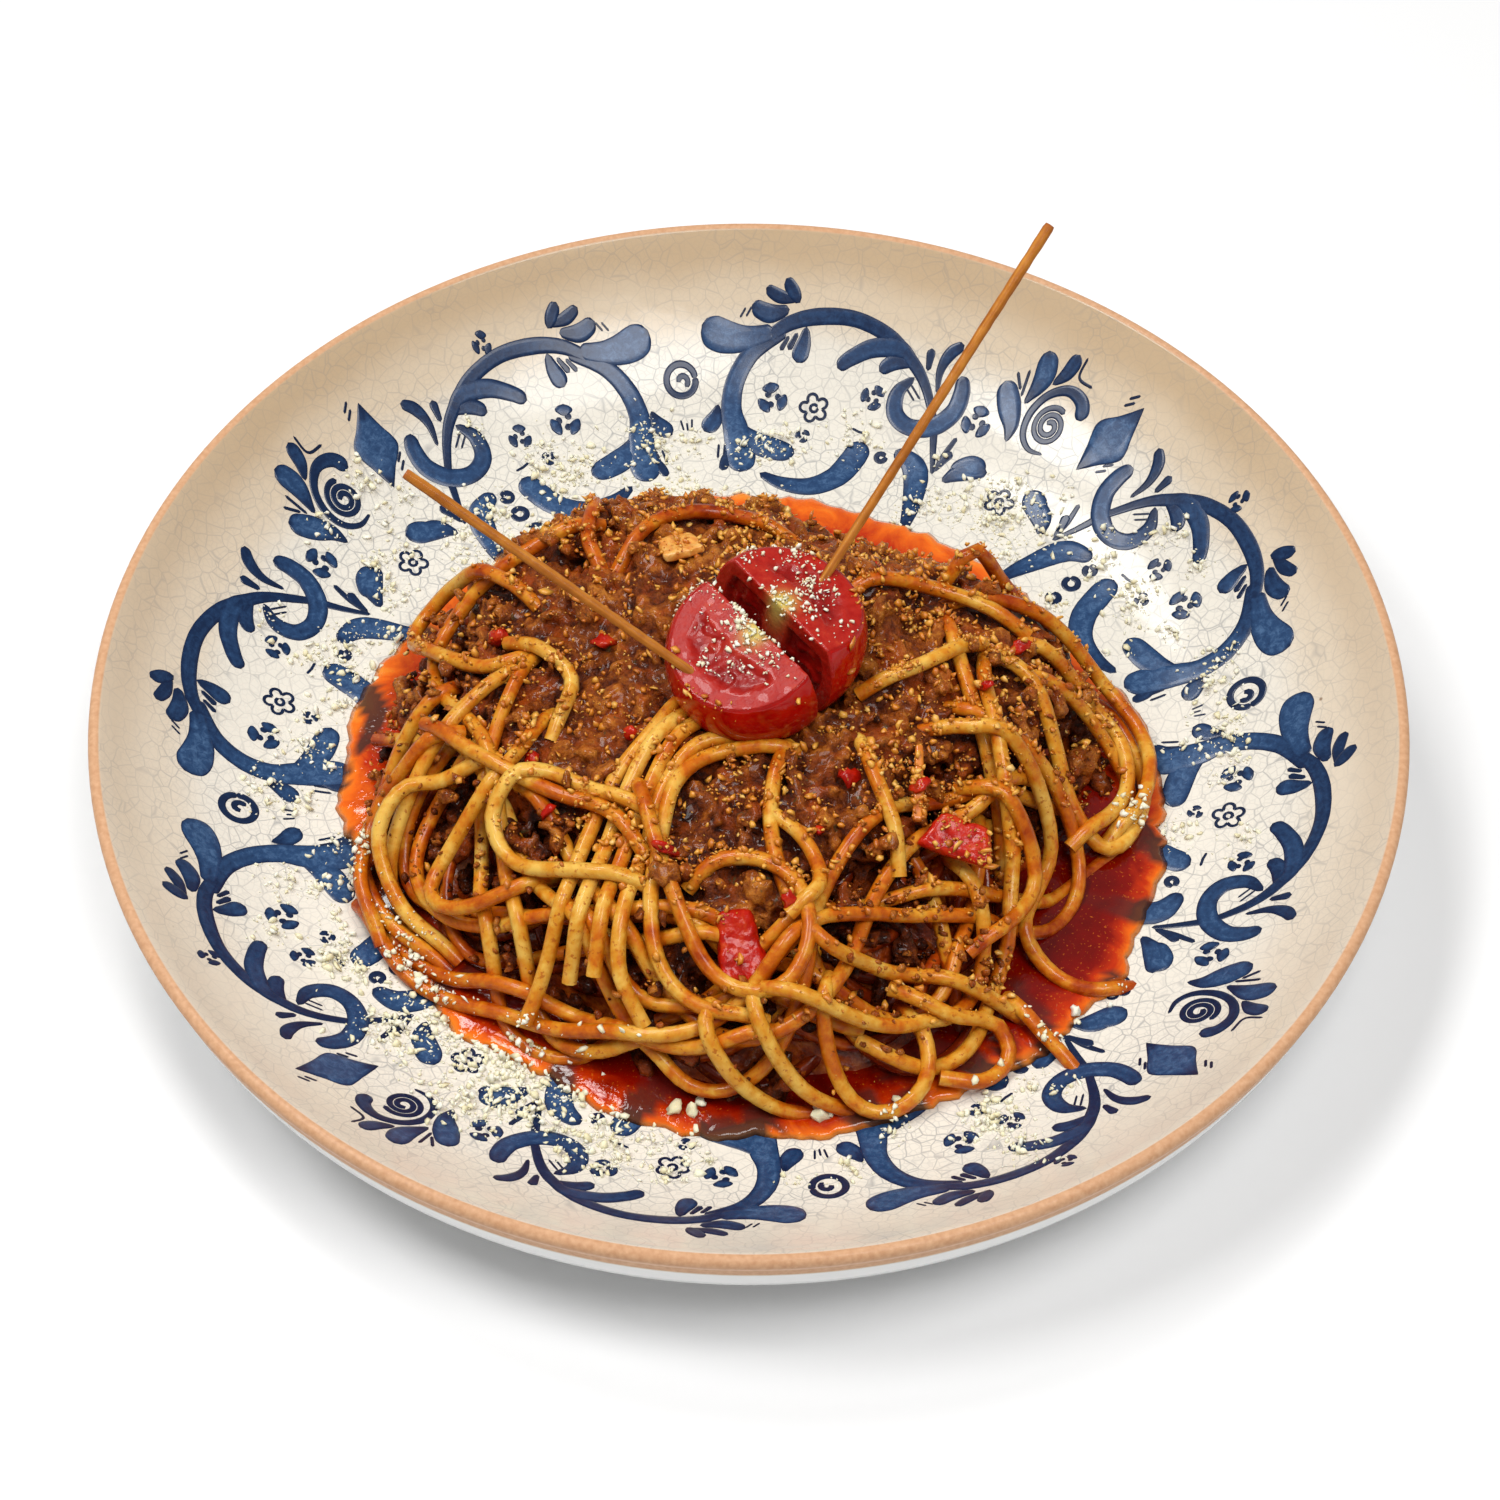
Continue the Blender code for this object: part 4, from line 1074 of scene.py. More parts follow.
# ---------------------------------------------------------------- strands on top
# The last strands to fall: a bundle combed down the front, round loops over it, long
# sweeps along the foot of the heap and single ends that stand up out of the meat sauce.
# Each is given by a few places on the plate in mm, with a lift where it stands free.
TOP_STRANDS = (
    ((-81, -22), (-77, -36), (-68, -50), (-52, -60), (-35, -68), (-19, -77), (-6, -80), (6, -78)),
    ((-80, -36), (-68, -55), (-48, -66), (-31, -74), (-15, -78), (0, -72), (12, -60)),
    ((-60, 4), (-71, -5), (-77, -18), (-79, -30), (-72, -44), (-60, -53)),
    ((-48, 2), (-59, -8), (-68, -20), (-73, -34), (-66, -46)),
    ((-58, -12), (-68, -15), (-76, -20), (-79, -34), (-74, -48)),
    ((-50, -20), (-61, -22), (-70, -22), (-75, -30), (-70, -42), (-58, -52)),
    ((-12, -6), (-20, -18), (-27, -28), (-32, -40), (-36, -52), (-40, -63), (-44, -70)),
    ((-8, -8), (-18, -19), (-24, -30), (-28, -42), (-32, -54), (-35, -66)),
    ((-4, -12), (-14, -19), (-20, -31), (-24, -43), (-28, -56), (-30, -68)),
    ((4, -18), (-10, -21), (-17, -31), (-20, -43), (-24, -56), (-25, -68), (-20, -76)),
    ((10, -22), (-6, -23), (-14, -30), (-17, -41), (-19, -55), (-17, -67), (-8, -75), (4, -76)),
    ((-40, -8), (-48, -22), (-62, -38), (-63, -45), (-56, -49), (-46, -48), (-38, -44)),
    ((-66, -10), (-56, -20), (-46, -27), (-38, -31), (-28, -36), (-20, -46)),
    ((-20, -52), (-34, -49), (-46, -44), (-51, -35), (-47, -28), (-39, -27), (-29, -32), (-18, -38)),
    ((-22, -30), (-19, -42), (-15, -54), (-9, -66), (0, -73), (8, -72), (12, -64), (10, -54), (3, -48),
     (-6, -47), (-12, -51)),
    ((-7, -73), (-8, -79), (-4, -84), (4, -86), (13, -86), (20, -82)),
    ((1, -73), (2, -78), (6, -83), (13, -86), (22, -85)),
    ((16, -68), (15, -77), (20, -85), (28, -87), (35, -82), (35, -74), (30, -66)),
    ((3, -73), (10, -75), (20, -76), (32, -73), (42, -66), (47, -56), (46, -46), (40, -36)),
    ((11, -62), (17, -66), (26, -64), (36, -62), (46, -63), (56, -64)),
    ((28, -66), (40, -70), (49, -68), (52, -74), (46, -80), (38, -80)),
    ((52, -60), (58, -68), (66, -77)),
    ((34, -14), (46, -15), (56, -18), (62, -26), (59, -36), (56, -46), (61, -53), (70, -57), (79, -55)),
    ((42, -24), (52, -28), (58, -38), (52, -50), (44, -56)),
    ((48, 8), (58, 2), (63, -8), (67, -18), (74, -24), (80, -18), (83, -6), (80, 8), (72, 20)),
    ((40, 22), (54, 24), (68, 22), (79, 14), (84, 2), (82, -12), (74, -22)),
    ((56, 14), (68, 12), (77, 4), (79, -8), (74, -18), (66, -26)),
    ((18, 18), (26, 22), (36, 23), (46, 21), (58, 16)),
    ((22, -8), (32, -4), (40, 1), (48, 8)),
    ((40, 26, 0), (43, 28, 6), (46, 30, 10), (50, 31, 8), (52, 31, 2), (56, 30, 0)),
    ((-34, 56), (-33, 46), (-34, 34), (-30, 24)),
    ((-28, 26), (-21, 37), (-11, 43), (0, 42), (10, 38)),
    ((-44, 20, 0), (-55, 29, 2), (-64, 34, 3), (-71, 29, 4), (-70, 19, 3),
     (-63, 10, 1), (-54, 4, 0), (-44, 6, 0)),
    ((22, -18), (25, -28), (29, -38), (30, -46)),
    ((4, -36), (12, -44), (14, -54), (8, -60)),
    ((-50, 10), (-42, 4), (-36, -4), (-40, -16)),
)
pile_strands(11, 24, below=0.0,
             wanted=lambda x, y: ragu_share(x, y) > 1.0 and y < 0.01 and clear_of_dice(x, y))
for points in TOP_STRANDS:
    lay_strand([(*(value * MM for value in point), 0.0)[:3] for point in points], radius=STRAND)

# crumbs that fell between and on the top strands, and small ones that cling farther out
for count, smallest, largest, low, high, lift in ((1200, 0.0009, 0.0022, 0.7, 1.22, 0.0018),
                                                  (700, 0.0010, 0.0022, 0.0, 0.97, 0.0030)):
    late = drop_crumbs(count, smallest, largest,
                       lambda x, y: low <= ragu_share(x, y) < high and clear_of_dice(x, y), lift)
    spots, sizes = spots + late[0], sizes + late[1]
ragu_builder = bmesh.new()
ragu_builder.from_mesh(paste)
ragu_builder.from_mesh(joined("meat sauce", lump_shapes, lump_corners,
                              spots + fine_spots, sizes + fine_sizes))
ragu_bulk = bpy.data.meshes.new("meat sauce")
ragu_builder.to_mesh(ragu_bulk)
ragu_builder.free()
cling_spots, cling_sizes = drop_crumbs(1500, 0.0003, 0.0011,
                                       lambda x, y: ragu_share(x, y) > 0.9 and clear_of_dice(x, y),
                                       lift=0.006)
crumb_mesh = joined("loose crumbs", bit_shapes, bit_corners, cling_spots, cling_sizes)


def store_painted_light_height(mesh):
    """Store how far each point of the meat stands above the mean height round it, for the painted shade in
    the hollows and the painted highlights on top.
    """
    places = points_of(mesh)
    above = places[:, 2] - relief.read(mean_height, places[:, 0], places[:, 1])
    tag(mesh, "painted_light_height", np.clip(0.50 + above / 0.0026, 0, 1))


mean_height = relief.blurred(4)
ragu_bulk = fused(ragu_bulk, 0.00074, share=0.44)
meat_places = points_of(ragu_bulk)
meat_normals = np.array([tuple(vert.normal) for vert in ragu_bulk.vertices])
mince = 0.00080 * rough_noise(*meat_places[:, :2].T, 440.0, 1.0, meat_places[:, 2]) \
    + 0.00070 * rough_noise(*meat_places[:, :2].T, 900.0, 4.0, meat_places[:, 2])
set_points(ragu_bulk, meat_places + meat_normals * mince[:, None])
for mesh in (ragu_bulk, crumb_mesh):
    store_painted_light_height(mesh)
finish_piece("meat_sauce_layer", ragu_bulk, [MEAT], ["ragu"])
finish_piece("loose_meat_crumbs", crumb_mesh, [MEAT])
make_strands()


# ---------------------------------------------------------------- the slit tomato half
# A small ripe tomato cut in half and slit nearly through, opened into two wedges. The skin is
# tight and glossy; the cut face shows a pink band of flesh along the slit, a wet seed
# chamber behind it, an outer wall, and the greenish core.
SLIT_DIRECTION, SLIT_LEAN = math.radians(132), math.radians(6.2)
WEDGES = (("front", TOMATO_SPOTS[0], (236.5, 19.7, 0.0091), (0.0016, -0.0048, 0.0598), 1),
          ("back", TOMATO_SPOTS[1], (21.7, 16.0, 0.0100), (0.0060, 0.0002, 0.0605), -1))


def wedge_mesh(middle, up, offset, slit_point, slit_out):
    """A ball cut by its level face and by the slit, melted so that the edges are soft."""
    builder = bmesh.new()
    bmesh.ops.create_uvsphere(builder, u_segments=96, v_segments=64, radius=TOMATO_RADIUS,
                              matrix=Matrix.Translation(middle))
    for point, normal in ((middle + up * offset, up), (slit_point, slit_out)):
        geometry = builder.verts[:] + builder.edges[:] + builder.faces[:]
        cut = bmesh.ops.bisect_plane(builder, geom=geometry, plane_co=point, plane_no=normal,
                                     clear_outer=True, dist=1e-7)
        rim = [part for part in cut["geom_cut"] if isinstance(part, bmesh.types.BMEdge)]
        bmesh.ops.contextual_create(builder, geom=rim)
    bmesh.ops.recalc_face_normals(builder, faces=builder.faces)
    mesh = bpy.data.meshes.new("wedge")
    builder.to_mesh(mesh)
    builder.free()
    mesh = fused(mesh, 0.00036)
    builder = bmesh.new()
    builder.from_mesh(mesh)
    for _ in range(3):
        bmesh.ops.smooth_vert(builder, verts=builder.verts, factor=0.5, use_axis_x=True, use_axis_y=True,
                              use_axis_z=True)
    builder.to_mesh(mesh)
    builder.free()
    return mesh


def tomato_finish():
    """Skin, flesh, seed chamber and core, told apart by what each point is."""
    finish = Finish("ripe tomato", roughness=0.14, coat=0.22, coat_roughness=0.04, subsurface=0.05,
                    subsurface_radius=(0.0030, 0.0005, 0.0003), specular=0.25)
    cells = finish.noise(480, 4, 0.6)
    cloud = finish.noise(170, 3, 0.55)
    skin = finish.ramp(cloud, [(0.3, (0.34, 0.0008, 0.0004)), (0.75, (0.54, 0.005, 0.001))])
    flesh = finish.ramp(cells, [(0.3, (0.33, 0.004, 0.002)), (0.6, (0.42, 0.016, 0.006)),
                                (0.8, (0.52, 0.06, 0.018))])
    wall = finish.ramp(cells, [(0.3, (0.34, 0.004, 0.002)), (0.75, (0.45, 0.018, 0.008))])
    gel = finish.ramp(cloud, [(0.35, (0.20, 0.001, 0.001)), (0.6, (0.31, 0.005, 0.002)),
                              (0.8, (0.42, 0.024, 0.008))])
    colour = finish.blend(finish.attribute("band"), wall, flesh)
    colour = finish.blend(finish.attribute("gel"), colour, gel)
    colour = finish.blend(finish.attribute("core"), colour, (0.62, 0.50, 0.12))
    finish.feed("Base Color", finish.blend(finish.attribute("cut"), skin, colour))
    wet = finish.math("MULTIPLY", finish.attribute("cut"), finish.math("ADD", cells, 0.1))
    finish.feed("Roughness", finish.math("ADD", 0.12, finish.math("MULTIPLY", wet, 0.42)))
    finish.bump(finish.math("MULTIPLY", finish.math("ADD", cells, cloud),
                            finish.attribute("cut")), 0.5, 0.0007)
    return finish.material


def make_wedge(name, middle, face, slit_point, side, finish):
    """Shape and paint one wedge from how deep each point lies behind its two cuts."""
    azimuth, tilt, offset = math.radians(face[0]), math.radians(face[1]), face[2]
    up = Vector((math.sin(tilt) * math.cos(azimuth), math.sin(tilt) * math.sin(azimuth), math.cos(tilt)))
    across = Vector((math.sin(SLIT_DIRECTION), -math.cos(SLIT_DIRECTION), 0.0)) * side
    slit_out = (across * math.cos(SLIT_LEAN) + Vector((0, 0, math.sin(SLIT_LEAN)))).normalized()
    middle, slit_point = Vector(middle), Vector(slit_point)
    slit_out = slit_out if (slit_out.dot(middle - slit_point) < 0) else \
        (-across * math.cos(SLIT_LEAN) + Vector((0, 0, math.sin(SLIT_LEAN)))).normalized()
    mesh = wedge_mesh(middle, up, offset, slit_point, slit_out)
    places = points_of(mesh)
    below = (np.array(middle + up * offset) - places) @ np.array(up)
    behind = (np.array(slit_point) - places) @ np.array(slit_out)
    under_skin = TOMATO_RADIUS - np.linalg.norm(places - np.array(middle), axis=1)
    along = up.cross(slit_out).normalized()
    run = (places - np.array(slit_point)) @ np.array(along)
    face_part = np.clip(1.6 - below / 0.0004, 0, 1)
    slit_part = np.clip(1.6 - behind / 0.0004, 0, 1)
    wobble = rough_noise(places[:, 0], places[:, 1], 260.0, 2.0, places[:, 2])
    band_edge = 0.0062 - 0.16 * np.abs(run) + 0.0015 * wobble
    in_chamber = np.clip((behind - band_edge) / 0.0022, 0, 1) \
        * np.clip((under_skin - 0.0028 - 0.0007 * wobble) / 0.0020, 0, 1)
    in_chamber = in_chamber * in_chamber * (3 - 2 * in_chamber)
    rib = np.exp(-((run + 0.0035 - 0.3 * behind) / 0.0012) ** 2)
    in_chamber = in_chamber * (1 - 0.6 * rib)
    slit_chamber = slit_part * np.clip((below - 0.0035) / 0.001, 0, 1) \
        * np.clip((under_skin - 0.0030) / 0.001, 0, 1) * np.clip((np.abs(run) - 0.003) / 0.001, 0, 1)
    seeds = np.clip(rough_noise(places[:, 0], places[:, 1], 520.0, 9.0, places[:, 2]) * 2, 0, 1)
    drop = face_part * in_chamber * (0.0010 - 0.0006 * seeds + 0.0004 * wobble)
    dip = slit_chamber * (0.0012 - 0.0005 * seeds)
    swell = face_part * (1 - in_chamber) * 0.0002 * wobble
    places -= np.outer(drop - swell, up) + np.outer(dip, slit_out)
    set_points(mesh, places)
    cut = np.maximum(face_part, slit_part) * np.clip((under_skin - 0.0001) / 0.0003, 0, 1)
    tag(mesh, "cut", cut)
    tag(mesh, "band", np.clip((band_edge + 0.0012 - behind) / 0.001, 0, 1) * face_part
        + slit_part * np.clip(1 - below / 0.004, 0, 0.6))
    tag(mesh, "gel", np.clip(np.maximum(face_part * in_chamber, slit_chamber), 0, 1))
    spot = np.exp(-(run + 0.0005) ** 2 / 0.0024 ** 2 - (behind - 0.001) ** 2 / 0.0028 ** 2
                  - below ** 2 / 0.006 ** 2)
    tag(mesh, "core", np.clip(spot * 1.1, 0, 0.9))
    relief.cover(places)
    finish_piece(name, mesh, [finish], ["tomato_wedge_" + name.split("_")[0]])


TOMATO = tomato_finish()
for name, middle, face, slit_point, side in WEDGES:
    make_wedge(name + "_tomato_wedge", middle, face, slit_point, side, TOMATO)


# ---------------------------------------------------------------- two sticks
# Thin golden-brown sticks, straight and a little knobbly, pushed into the cut faces: baked
# dough or split wood with a fine grain along them, darker at the tips.
STICKS = (("left", (-0.0126, -0.0117, 0.0549), (-0.0680, 0.0137, 0.0840)),
          ("right", (0.0158, 0.0117, 0.0571), (0.0604, 0.0695, 0.0980)))
STICK_TIP, STICK_ROOT, STICK_SUNK = 0.00115, 0.00095, 0.0055


def stick_finish():
    finish = Finish("browned stick", roughness=0.60, coat=0.05, specular=0.2)
    stretched = finish.node("Mapping", "Vector", Vector=finish.attribute_vector("grain"),
                            Scale=(40.0, 1400.0, 1400.0))
    along = finish.node("TexNoise", "Fac", Vector=stretched, Scale=1.0, Detail=4.0)
    blotch = finish.noise(260, 3, 0.6)
    tone = finish.math("ADD", finish.math("MULTIPLY", along, 0.6), finish.math("MULTIPLY", blotch, 0.45))
    colour = finish.ramp(tone, [(0.30, (0.23, 0.060, 0.005)), (0.5, (0.40, 0.125, 0.010)),
                                (0.72, (0.56, 0.22, 0.028))])
    finish.feed("Base Color", finish.blend(finish.attribute("tip"), colour, (0.36, 0.10, 0.02)))
    finish.bump(tone, 0.5, 0.0005)
    return finish.material


def make_stick(name, entry, tip, finish):
    """A tapered rod with soft swellings and a rough end."""
    entry, tip = Vector(entry), Vector(tip)
    along = (tip - entry).normalized()
    root = entry - along * STICK_SUNK
    length = (tip - root).length
    builder = bmesh.new()
    bmesh.ops.create_cone(builder, segments=16, radius1=1.0, radius2=1.0, depth=1.0, cap_ends=True)
    sides = [edge for edge in builder.edges if abs(edge.verts[0].co.z - edge.verts[1].co.z) > 0.5]
    bmesh.ops.subdivide_edges(builder, edges=sides, cuts=110, use_grid_fill=True)
    bmesh.ops.recalc_face_normals(builder, faces=builder.faces)
    mesh = bpy.data.meshes.new(name)
    builder.to_mesh(mesh)
    builder.free()
    places = points_of(mesh)
    run = places[:, 2] + 0.5
    radius = STICK_ROOT + (STICK_TIP - STICK_ROOT) * run
    radius = radius * (1 + 0.09 * rough_noise(run, run * 0, 30.0, 4.0 + length * 100)
                       + 0.05 * rough_noise(places[:, 0], places[:, 1], 1.2, 1.0, run * 40))
    radius = radius * np.where(run > 0.995, 0.86, 1.0)
    grain = np.column_stack((run * length, places[:, 0] * 0.001, places[:, 1] * 0.001))
    side = along.orthogonal().normalized()
    other = along.cross(side)
    placed = np.array(root) + np.outer(run * length, along) \
        + (places[:, 0] * radius)[:, None] * np.array(side) \
        + (places[:, 1] * radius)[:, None] * np.array(other)
    set_points(mesh, placed)
    layer_data = mesh.attributes.new("grain", "FLOAT_VECTOR", "POINT")
    layer_data.data.foreach_set("vector", grain.astype(np.float32).ravel())
    tag(mesh, "tip", np.clip((run - 0.985) / 0.015, 0, 1))
    finish_piece(name + "_stick", mesh, [finish], ["stick_" + name])


WOOD = stick_finish()
for name, entry, tip in STICKS:
    make_stick(name, entry, tip, WOOD)


# ---------------------------------------------------------------- diced tomato and cheese flake
# Hand-cut dice of cooked tomato with a torn skin side, a thin strip of carrot, small red bits,
# and a flake of cheese crust that has soaked up the golden oil.
BLOCKS = (
    ("front_tomato_dice", "tomato_dice_front", (-0.0014, -0.0630, 0.0318),
     (0.0105, 0.0150, 0.0050), 12, 30, 0.72),
    ("right_tomato_dice", "tomato_dice_right", (0.0420, -0.0385, 0.0345),
     (0.0165, 0.0080, 0.0045), -22, 24, 0.60),
    ("cheese_crust_flake", "cheese_flake", (-0.0146, 0.0297, 0.0435),
     (0.0090, 0.0078, 0.0026), 20, -24, 0.80),
)


def dice_finish():
    finish = Finish("cooked tomato", roughness=0.26, coat=0.25, coat_roughness=0.08,
                    specular=0.2, subsurface=0.06,
                    subsurface_radius=(0.003, 0.0006, 0.0004))
    cloud = finish.noise(260, 4, 0.62, 0.5)
    colour = finish.ramp(cloud, [(0.28, (0.28, 0.003, 0.001)), (0.5, (0.46, 0.009, 0.002)),
                                 (0.70, (0.56, 0.050, 0.007)), (0.88, (0.62, 0.17, 0.02))])
    finish.feed("Base Color", colour)
    finish.bump(finish.math("ADD", cloud, finish.noise(900, 2)), 0.4, 0.0006)
    return finish.material


def crust_finish():
    finish = Finish("soaked cheese crust", roughness=0.45, coat=0.35, coat_roughness=0.2, subsurface=0.2)
    cloud = finish.noise(420, 4, 0.62, 0.5)
    colour = finish.ramp(cloud, [(0.3, (0.62, 0.17, 0.018)), (0.5, (0.78, 0.36, 0.06)),
                                 (0.75, (0.86, 0.58, 0.20))])
    finish.feed("Base Color", colour)
    finish.bump(cloud, 0.6, 0.0008)
    return finish.material


def cut_block(middle, size, turn, lean, taper, rough):
    """A block with one end drawn in, its edges rounded and its faces made uneven."""
    builder = bmesh.new()
    bmesh.ops.create_cube(builder, size=1.0)
    for vert in builder.verts:
        if vert.co.y > 0:
            vert.co.x *= taper
        if vert.co.x > 0:
            vert.co.z *= 0.8
    bmesh.ops.scale(builder, vec=size, verts=builder.verts)
    bmesh.ops.bevel(builder, geom=builder.edges, offset=min(size) * 0.30, segments=3, profile=0.5,
                    affect="EDGES", material=-1)
    bmesh.ops.transform(builder, matrix=Matrix.Translation(middle)
                               @ Matrix.Rotation(math.radians(turn), 4, "Z")
                        @ Matrix.Rotation(math.radians(lean), 4, "X"), verts=builder.verts)
    bmesh.ops.recalc_face_normals(builder, faces=builder.faces)
    mesh = bpy.data.meshes.new("block")
    builder.to_mesh(mesh)
    builder.free()
    mesh = fused(mesh, min(size) / 12)
    places = points_of(mesh)
    normals = np.array([tuple(vert.normal) for vert in mesh.vertices])
    push = rough * (rough_noise(*places[:, :2].T, 220.0, 1.0, places[:, 2])
                    + 0.5 * rough_noise(*places[:, :2].T, 600.0, 5.0, places[:, 2]))
    places += normals * push[:, None]
    set_points(mesh, places)
    relief.cover(places)
    return mesh


DICED, CRUST = dice_finish(), crust_finish()
for name, node, middle, size, turn, lean, taper in BLOCKS:
    is_cheese = node == "cheese_flake"
    block = cut_block(middle, size, turn, lean, taper, 0.0005)
    finish_piece(name, block, [CRUST if is_cheese else DICED], [node])

carrot = cut_block((0.0339, -0.0282, 0.0395), (0.0021, 0.0165, 0.0018), -2, 14, 0.8, 0.0002)
finish = Finish("carrot strip", roughness=0.3, coat=0.4)
finish.feed("Base Color", finish.ramp(finish.noise(500, 3),
                                      [(0.3, (0.55, 0.12, 0.008)), (0.7, (0.72, 0.24, 0.02))]))
finish_piece("carrot_strip", carrot, [finish.material])

# small torn bits of tomato and carrot in the meat sauce
BITS = ((-16, -48), (-24, -18), (-40, -34), (-30, 6), (20, -28), (34, -30), (56, 10), (-44, -20), (8, -58),
        (26, 30), (-8, 46), (-52, 12), (14, -40), (48, -6))
bit_sizes = [dice.uniform(0.0010, 0.0022) for _ in BITS]
bit_places = [settle(x * MM, y * MM, size, sink=0.25) for (x, y), size in zip(BITS, bit_sizes)]
finish_piece("small_tomato_bits", joined("tomato bits", lump_shapes, lump_corners, bit_places, bit_sizes),
             [DICED])


# ---------------------------------------------------------------- grated cheese
# Dry hard cheese grated fine: white grains and soft clumps scattered over the plate and the
# tomato, and grains turned golden and moist by the oil wherever they fell on the food.
grain_shapes, grain_corners = lumps(1, 14, 0.95, flat=0.9)


def cheese_finish(name, stops, roughness, coat):
    finish = Finish(name, roughness=roughness, coat=coat, coat_roughness=0.2, subsurface=0.2,
                    subsurface_radius=(0.001, 0.0008, 0.0005))
    tone = finish.math("ADD", finish.math("MULTIPLY", finish.attribute("tone"), 0.7),
                       finish.math("MULTIPLY", finish.noise(700, 2), 0.3))
    finish.feed("Base Color", finish.ramp(tone, stops))
    return finish.material


def on_relief(x, y, size, heap):
    """Middles of grains that lie on whatever is highest under them."""
    z = relief.under(x, y, 1.4 * CELL, part=0.7) + size * 0.35
    return np.column_stack((x, y, z + heap * size))


def grain_field(count, choose, smallest, largest, seed, clump):
    """Grains in clumps of very uneven size round chosen places."""
    generator = np.random.default_rng(seed)
    xs, ys, sizes, heaped = [], [], [], []
    while len(xs) < count:
        x, y = choose(generator)
        members = int(1 + generator.exponential(clump))
        spread = 0.0004 + 0.00034 * math.sqrt(members)
        off_x, off_y = generator.normal(0, spread, (2, members))
        xs.extend(x + off_x)
        ys.extend(y + off_y)
        # the middle of a big clump is heaped up
        tall = 1.6 * min(members / 12, 1.5) * np.exp(-(off_x ** 2 + off_y ** 2) / spread ** 2)
        heaped.extend(tall * generator.random(members))
        sizes.extend(smallest + (largest - smallest) * generator.random(members) ** 3.5)
    return (np.array(values[:count]) for values in (xs, ys, sizes, heaped))


def choose_on_food(generator):
    """Mostly over the meat sauce, thickest at the back right."""
    while True:
        angle = generator.uniform(0, math.tau)
        reach = math.sqrt(generator.random()) * 0.97
        favour = 0.35 + 0.4 * math.cos(angle - math.radians(50)) * reach + 0.25 * (reach < 0.7)
        if generator.random() < favour:
            far = reach * float(heap_outline(angle))
            x, y = FOOD_MIDDLE[0] + far * math.cos(angle), FOOD_MIDDLE[1] + far * math.sin(angle)
            if math.hypot(x - 0.0034, y + 0.0016) > 0.0200:
                return x, y


# heading, how far past the pool's edge, spread and share of the drifts on the plate
DRIFTS = ((100, 0.004, 0.30, 0.9), (60, 0.012, 0.30, 0.9), (30, 0.016, 0.25, 0.8), (140, 0.010, 0.35, 1.0),
          (170, 0.006, 0.30, 0.6), (-10, 0.006, 0.25, 0.5), (-140, 0.006, 0.25, 1.0),
          (-115, 0.004, 0.22, 1.0),
          (-75, 0.008, 0.25, 0.35), (-50, 0.006, 0.20, 0.3), (-165, 0.010, 0.25, 0.4))


def choose_on_plate(generator):
    """In drifts just outside the pool, thinning outwards."""
    shares = np.array([drift[3] for drift in DRIFTS])
    heading, past, spread, _ = DRIFTS[generator.choice(len(DRIFTS), p=shares / shares.sum())]
    angle = math.radians(heading) + generator.normal(0, spread)
    reach = float(wavy_radius(angle, POOL_MEAN, POOL_WAVES)) + past + generator.normal(0, 0.0075)
    reach = max(reach, 0.082)
    return FOOD_MIDDLE[0] + reach * math.cos(angle), FOOD_MIDDLE[1] + reach * math.sin(angle)


def choose_on_tomato(generator):
    """Over both wedges, thickest at the back and along the slit."""
    while True:
        x, y = generator.normal(0.004, 0.010), generator.normal(0.001, 0.010)
        if math.hypot(x - 0.0034, y + 0.0016) < 0.0175:
            return x, y


WHITE = cheese_finish("dry grated cheese", [(0.1, (0.78, 0.70, 0.44)), (0.5, (0.87, 0.83, 0.62)),
                                            (0.9, (0.92, 0.90, 0.78))], 0.75, 0.0)
GOLDEN = cheese_finish("oil-soaked grated cheese",
                       [(0.05, (0.42, 0.090, 0.005)), (0.45, (0.64, 0.22, 0.014)),
                        (0.80, (0.76, 0.38, 0.050)), (0.99, (0.84, 0.64, 0.27))], 0.4, 0.3)
for name, finish, count, choose, smallest, largest, seed, clump in (
        ("grains_on_food", GOLDEN, 7000, choose_on_food, 0.00016, 0.00090, 3, 4),
        ("grains_on_plate", WHITE, 6400, choose_on_plate, 0.00016, 0.00082, 5, 26),
        ("grains_on_tomato", WHITE, 800, choose_on_tomato, 0.00014, 0.00064, 8, 9)):
    x, y, sizes, heaped = grain_field(count, choose, smallest, largest, seed, clump)
    places = on_relief(x, y, sizes, heaped)
    mesh = joined(name, grain_shapes, grain_corners, places, sizes)
    finish_piece(name, mesh, [finish], smooth=name != "grains_on_plate")

# a few crumbs of cheese that float, swollen, on the pool at the front
FLOATING = ((-14, -85.5), (-10.5, -86), (-9, -84), (14.5, -87), (16, -85.5), (30, -84), (66, -62))
float_sizes = [dice.uniform(0.0011, 0.0019) for _ in FLOATING]
float_places = [(x * MM, y * MM, POOL_LEVEL + size * 0.25) for (x, y), size in zip(FLOATING, float_sizes)]
finish_piece("floating_cheese", joined("floating cheese", lump_shapes, lump_corners,
                                       float_places, float_sizes),
             [WHITE])


# ---------------------------------------------------------------- table, light and camera
# A pale plain table top under a large soft light from behind, a smaller key from the left
# and an even surround, as over a table in a bright room.
LENS = 88.65
SENSOR = 36.0
CAMERA_TARGET = Vector((0.00025, 0.00494, 0.0065))
CAMERA_DISTANCE = 0.783
CAMERA_ELEVATION = math.radians(52.6)
CAMERA_ROLL = math.radians(0.384)


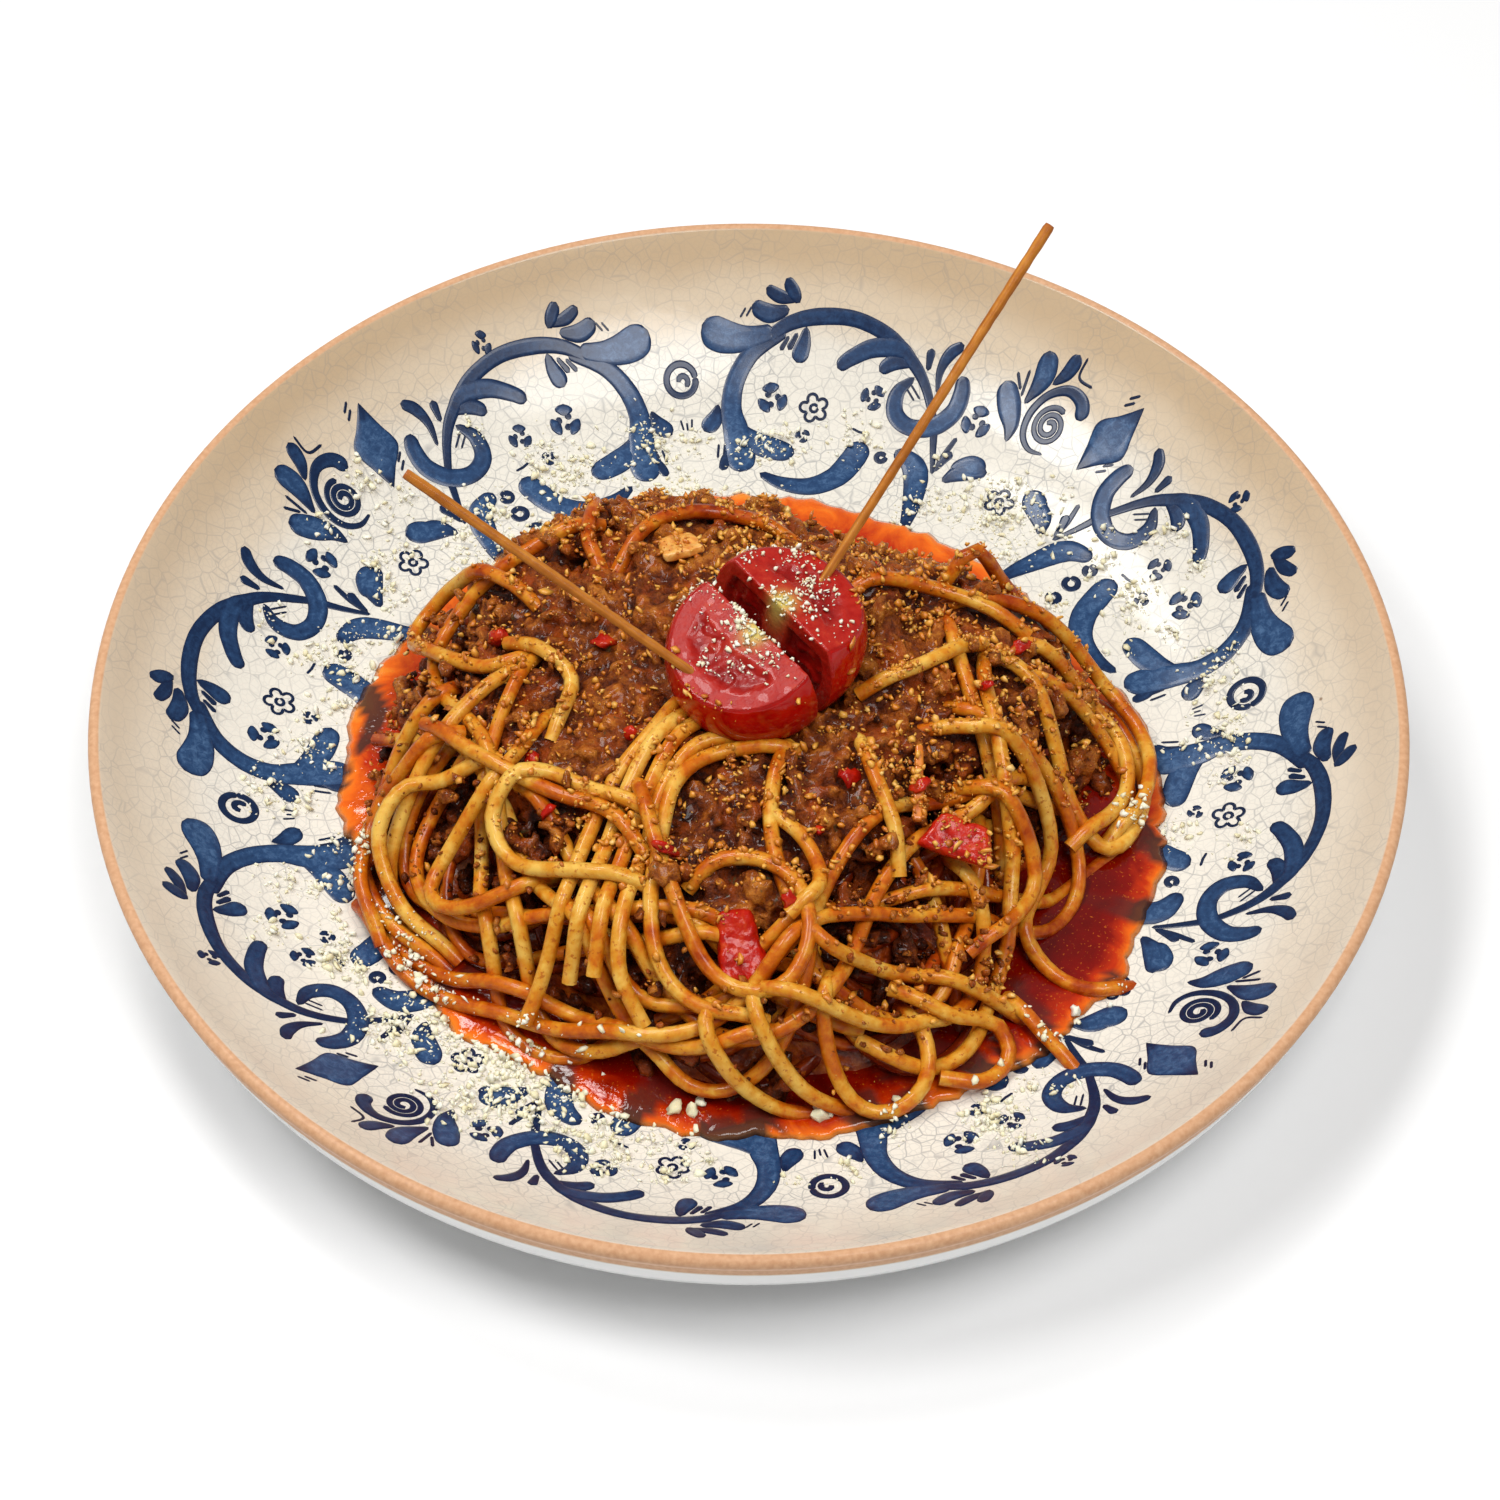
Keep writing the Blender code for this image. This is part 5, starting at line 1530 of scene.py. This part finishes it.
def make_table():
    builder = bmesh.new()
    bmesh.ops.create_grid(builder, x_segments=1, y_segments=1, size=6.0)
    bmesh.ops.translate(builder, vec=(0, 0, PLATE_LOW[2] - 0.0001), verts=builder.verts)
    mesh = bpy.data.meshes.new("table")
    builder.to_mesh(mesh)
    builder.free()
    table = bpy.data.objects.new("table", mesh)
    finish = Finish("pale table", roughness=0.9, specular=0.2)
    finish.put("Base Color", (0.86, 0.86, 0.86, 1.0))
    mesh.materials.append(finish.material)
    bpy.context.scene.collection.objects.link(table)


def add_light(name, place, size, power, aim=(0, 0, 0.02), colour=(1, 1, 1)):
    light = bpy.data.lights.new(name, "AREA")
    light.shape = "DISK"
    light.size = size
    light.energy = power
    light.color = colour
    lamp = bpy.data.objects.new(name, light)
    lamp.location = place
    lamp.rotation_euler = (Vector(aim) - Vector(place)).to_track_quat("-Z", "Y").to_euler()
    bpy.context.scene.collection.objects.link(lamp)


def make_camera():
    camera = bpy.data.cameras.new("camera")
    camera.lens = LENS
    camera.sensor_width = SENSOR
    camera.clip_start = 0.01
    rig = bpy.data.objects.new("camera", camera)
    back = Vector((0, -math.cos(CAMERA_ELEVATION), math.sin(CAMERA_ELEVATION)))
    rig.location = CAMERA_TARGET + back * CAMERA_DISTANCE
    level = back.to_track_quat("Z", "Y")
    rig.rotation_mode = "QUATERNION"
    rig.rotation_quaternion = Matrix.Rotation(CAMERA_ROLL, 3, back).to_quaternion() @ level
    bpy.context.scene.collection.objects.link(rig)
    bpy.context.scene.camera = rig


make_table()
add_light("back softbox", (-0.35, 0.45, 1.10), 0.35, 4.8, colour=(1.0, 0.99, 0.97))
add_light("left key", (-0.55, -0.05, 1.05), 0.35, 4.7)
add_light("top fill", (0.30, -0.35, 1.2), 0.6, 8.4)
world = bpy.data.worlds.new("surround")
world.use_nodes = True
world.node_tree.nodes["Background"].inputs["Color"].default_value = (1.0, 1.0, 1.0, 1.0)
world.node_tree.nodes["Background"].inputs["Strength"].default_value = 0.28
bpy.context.scene.world = world
bpy.context.scene.view_settings.view_transform = "Standard"
make_camera()
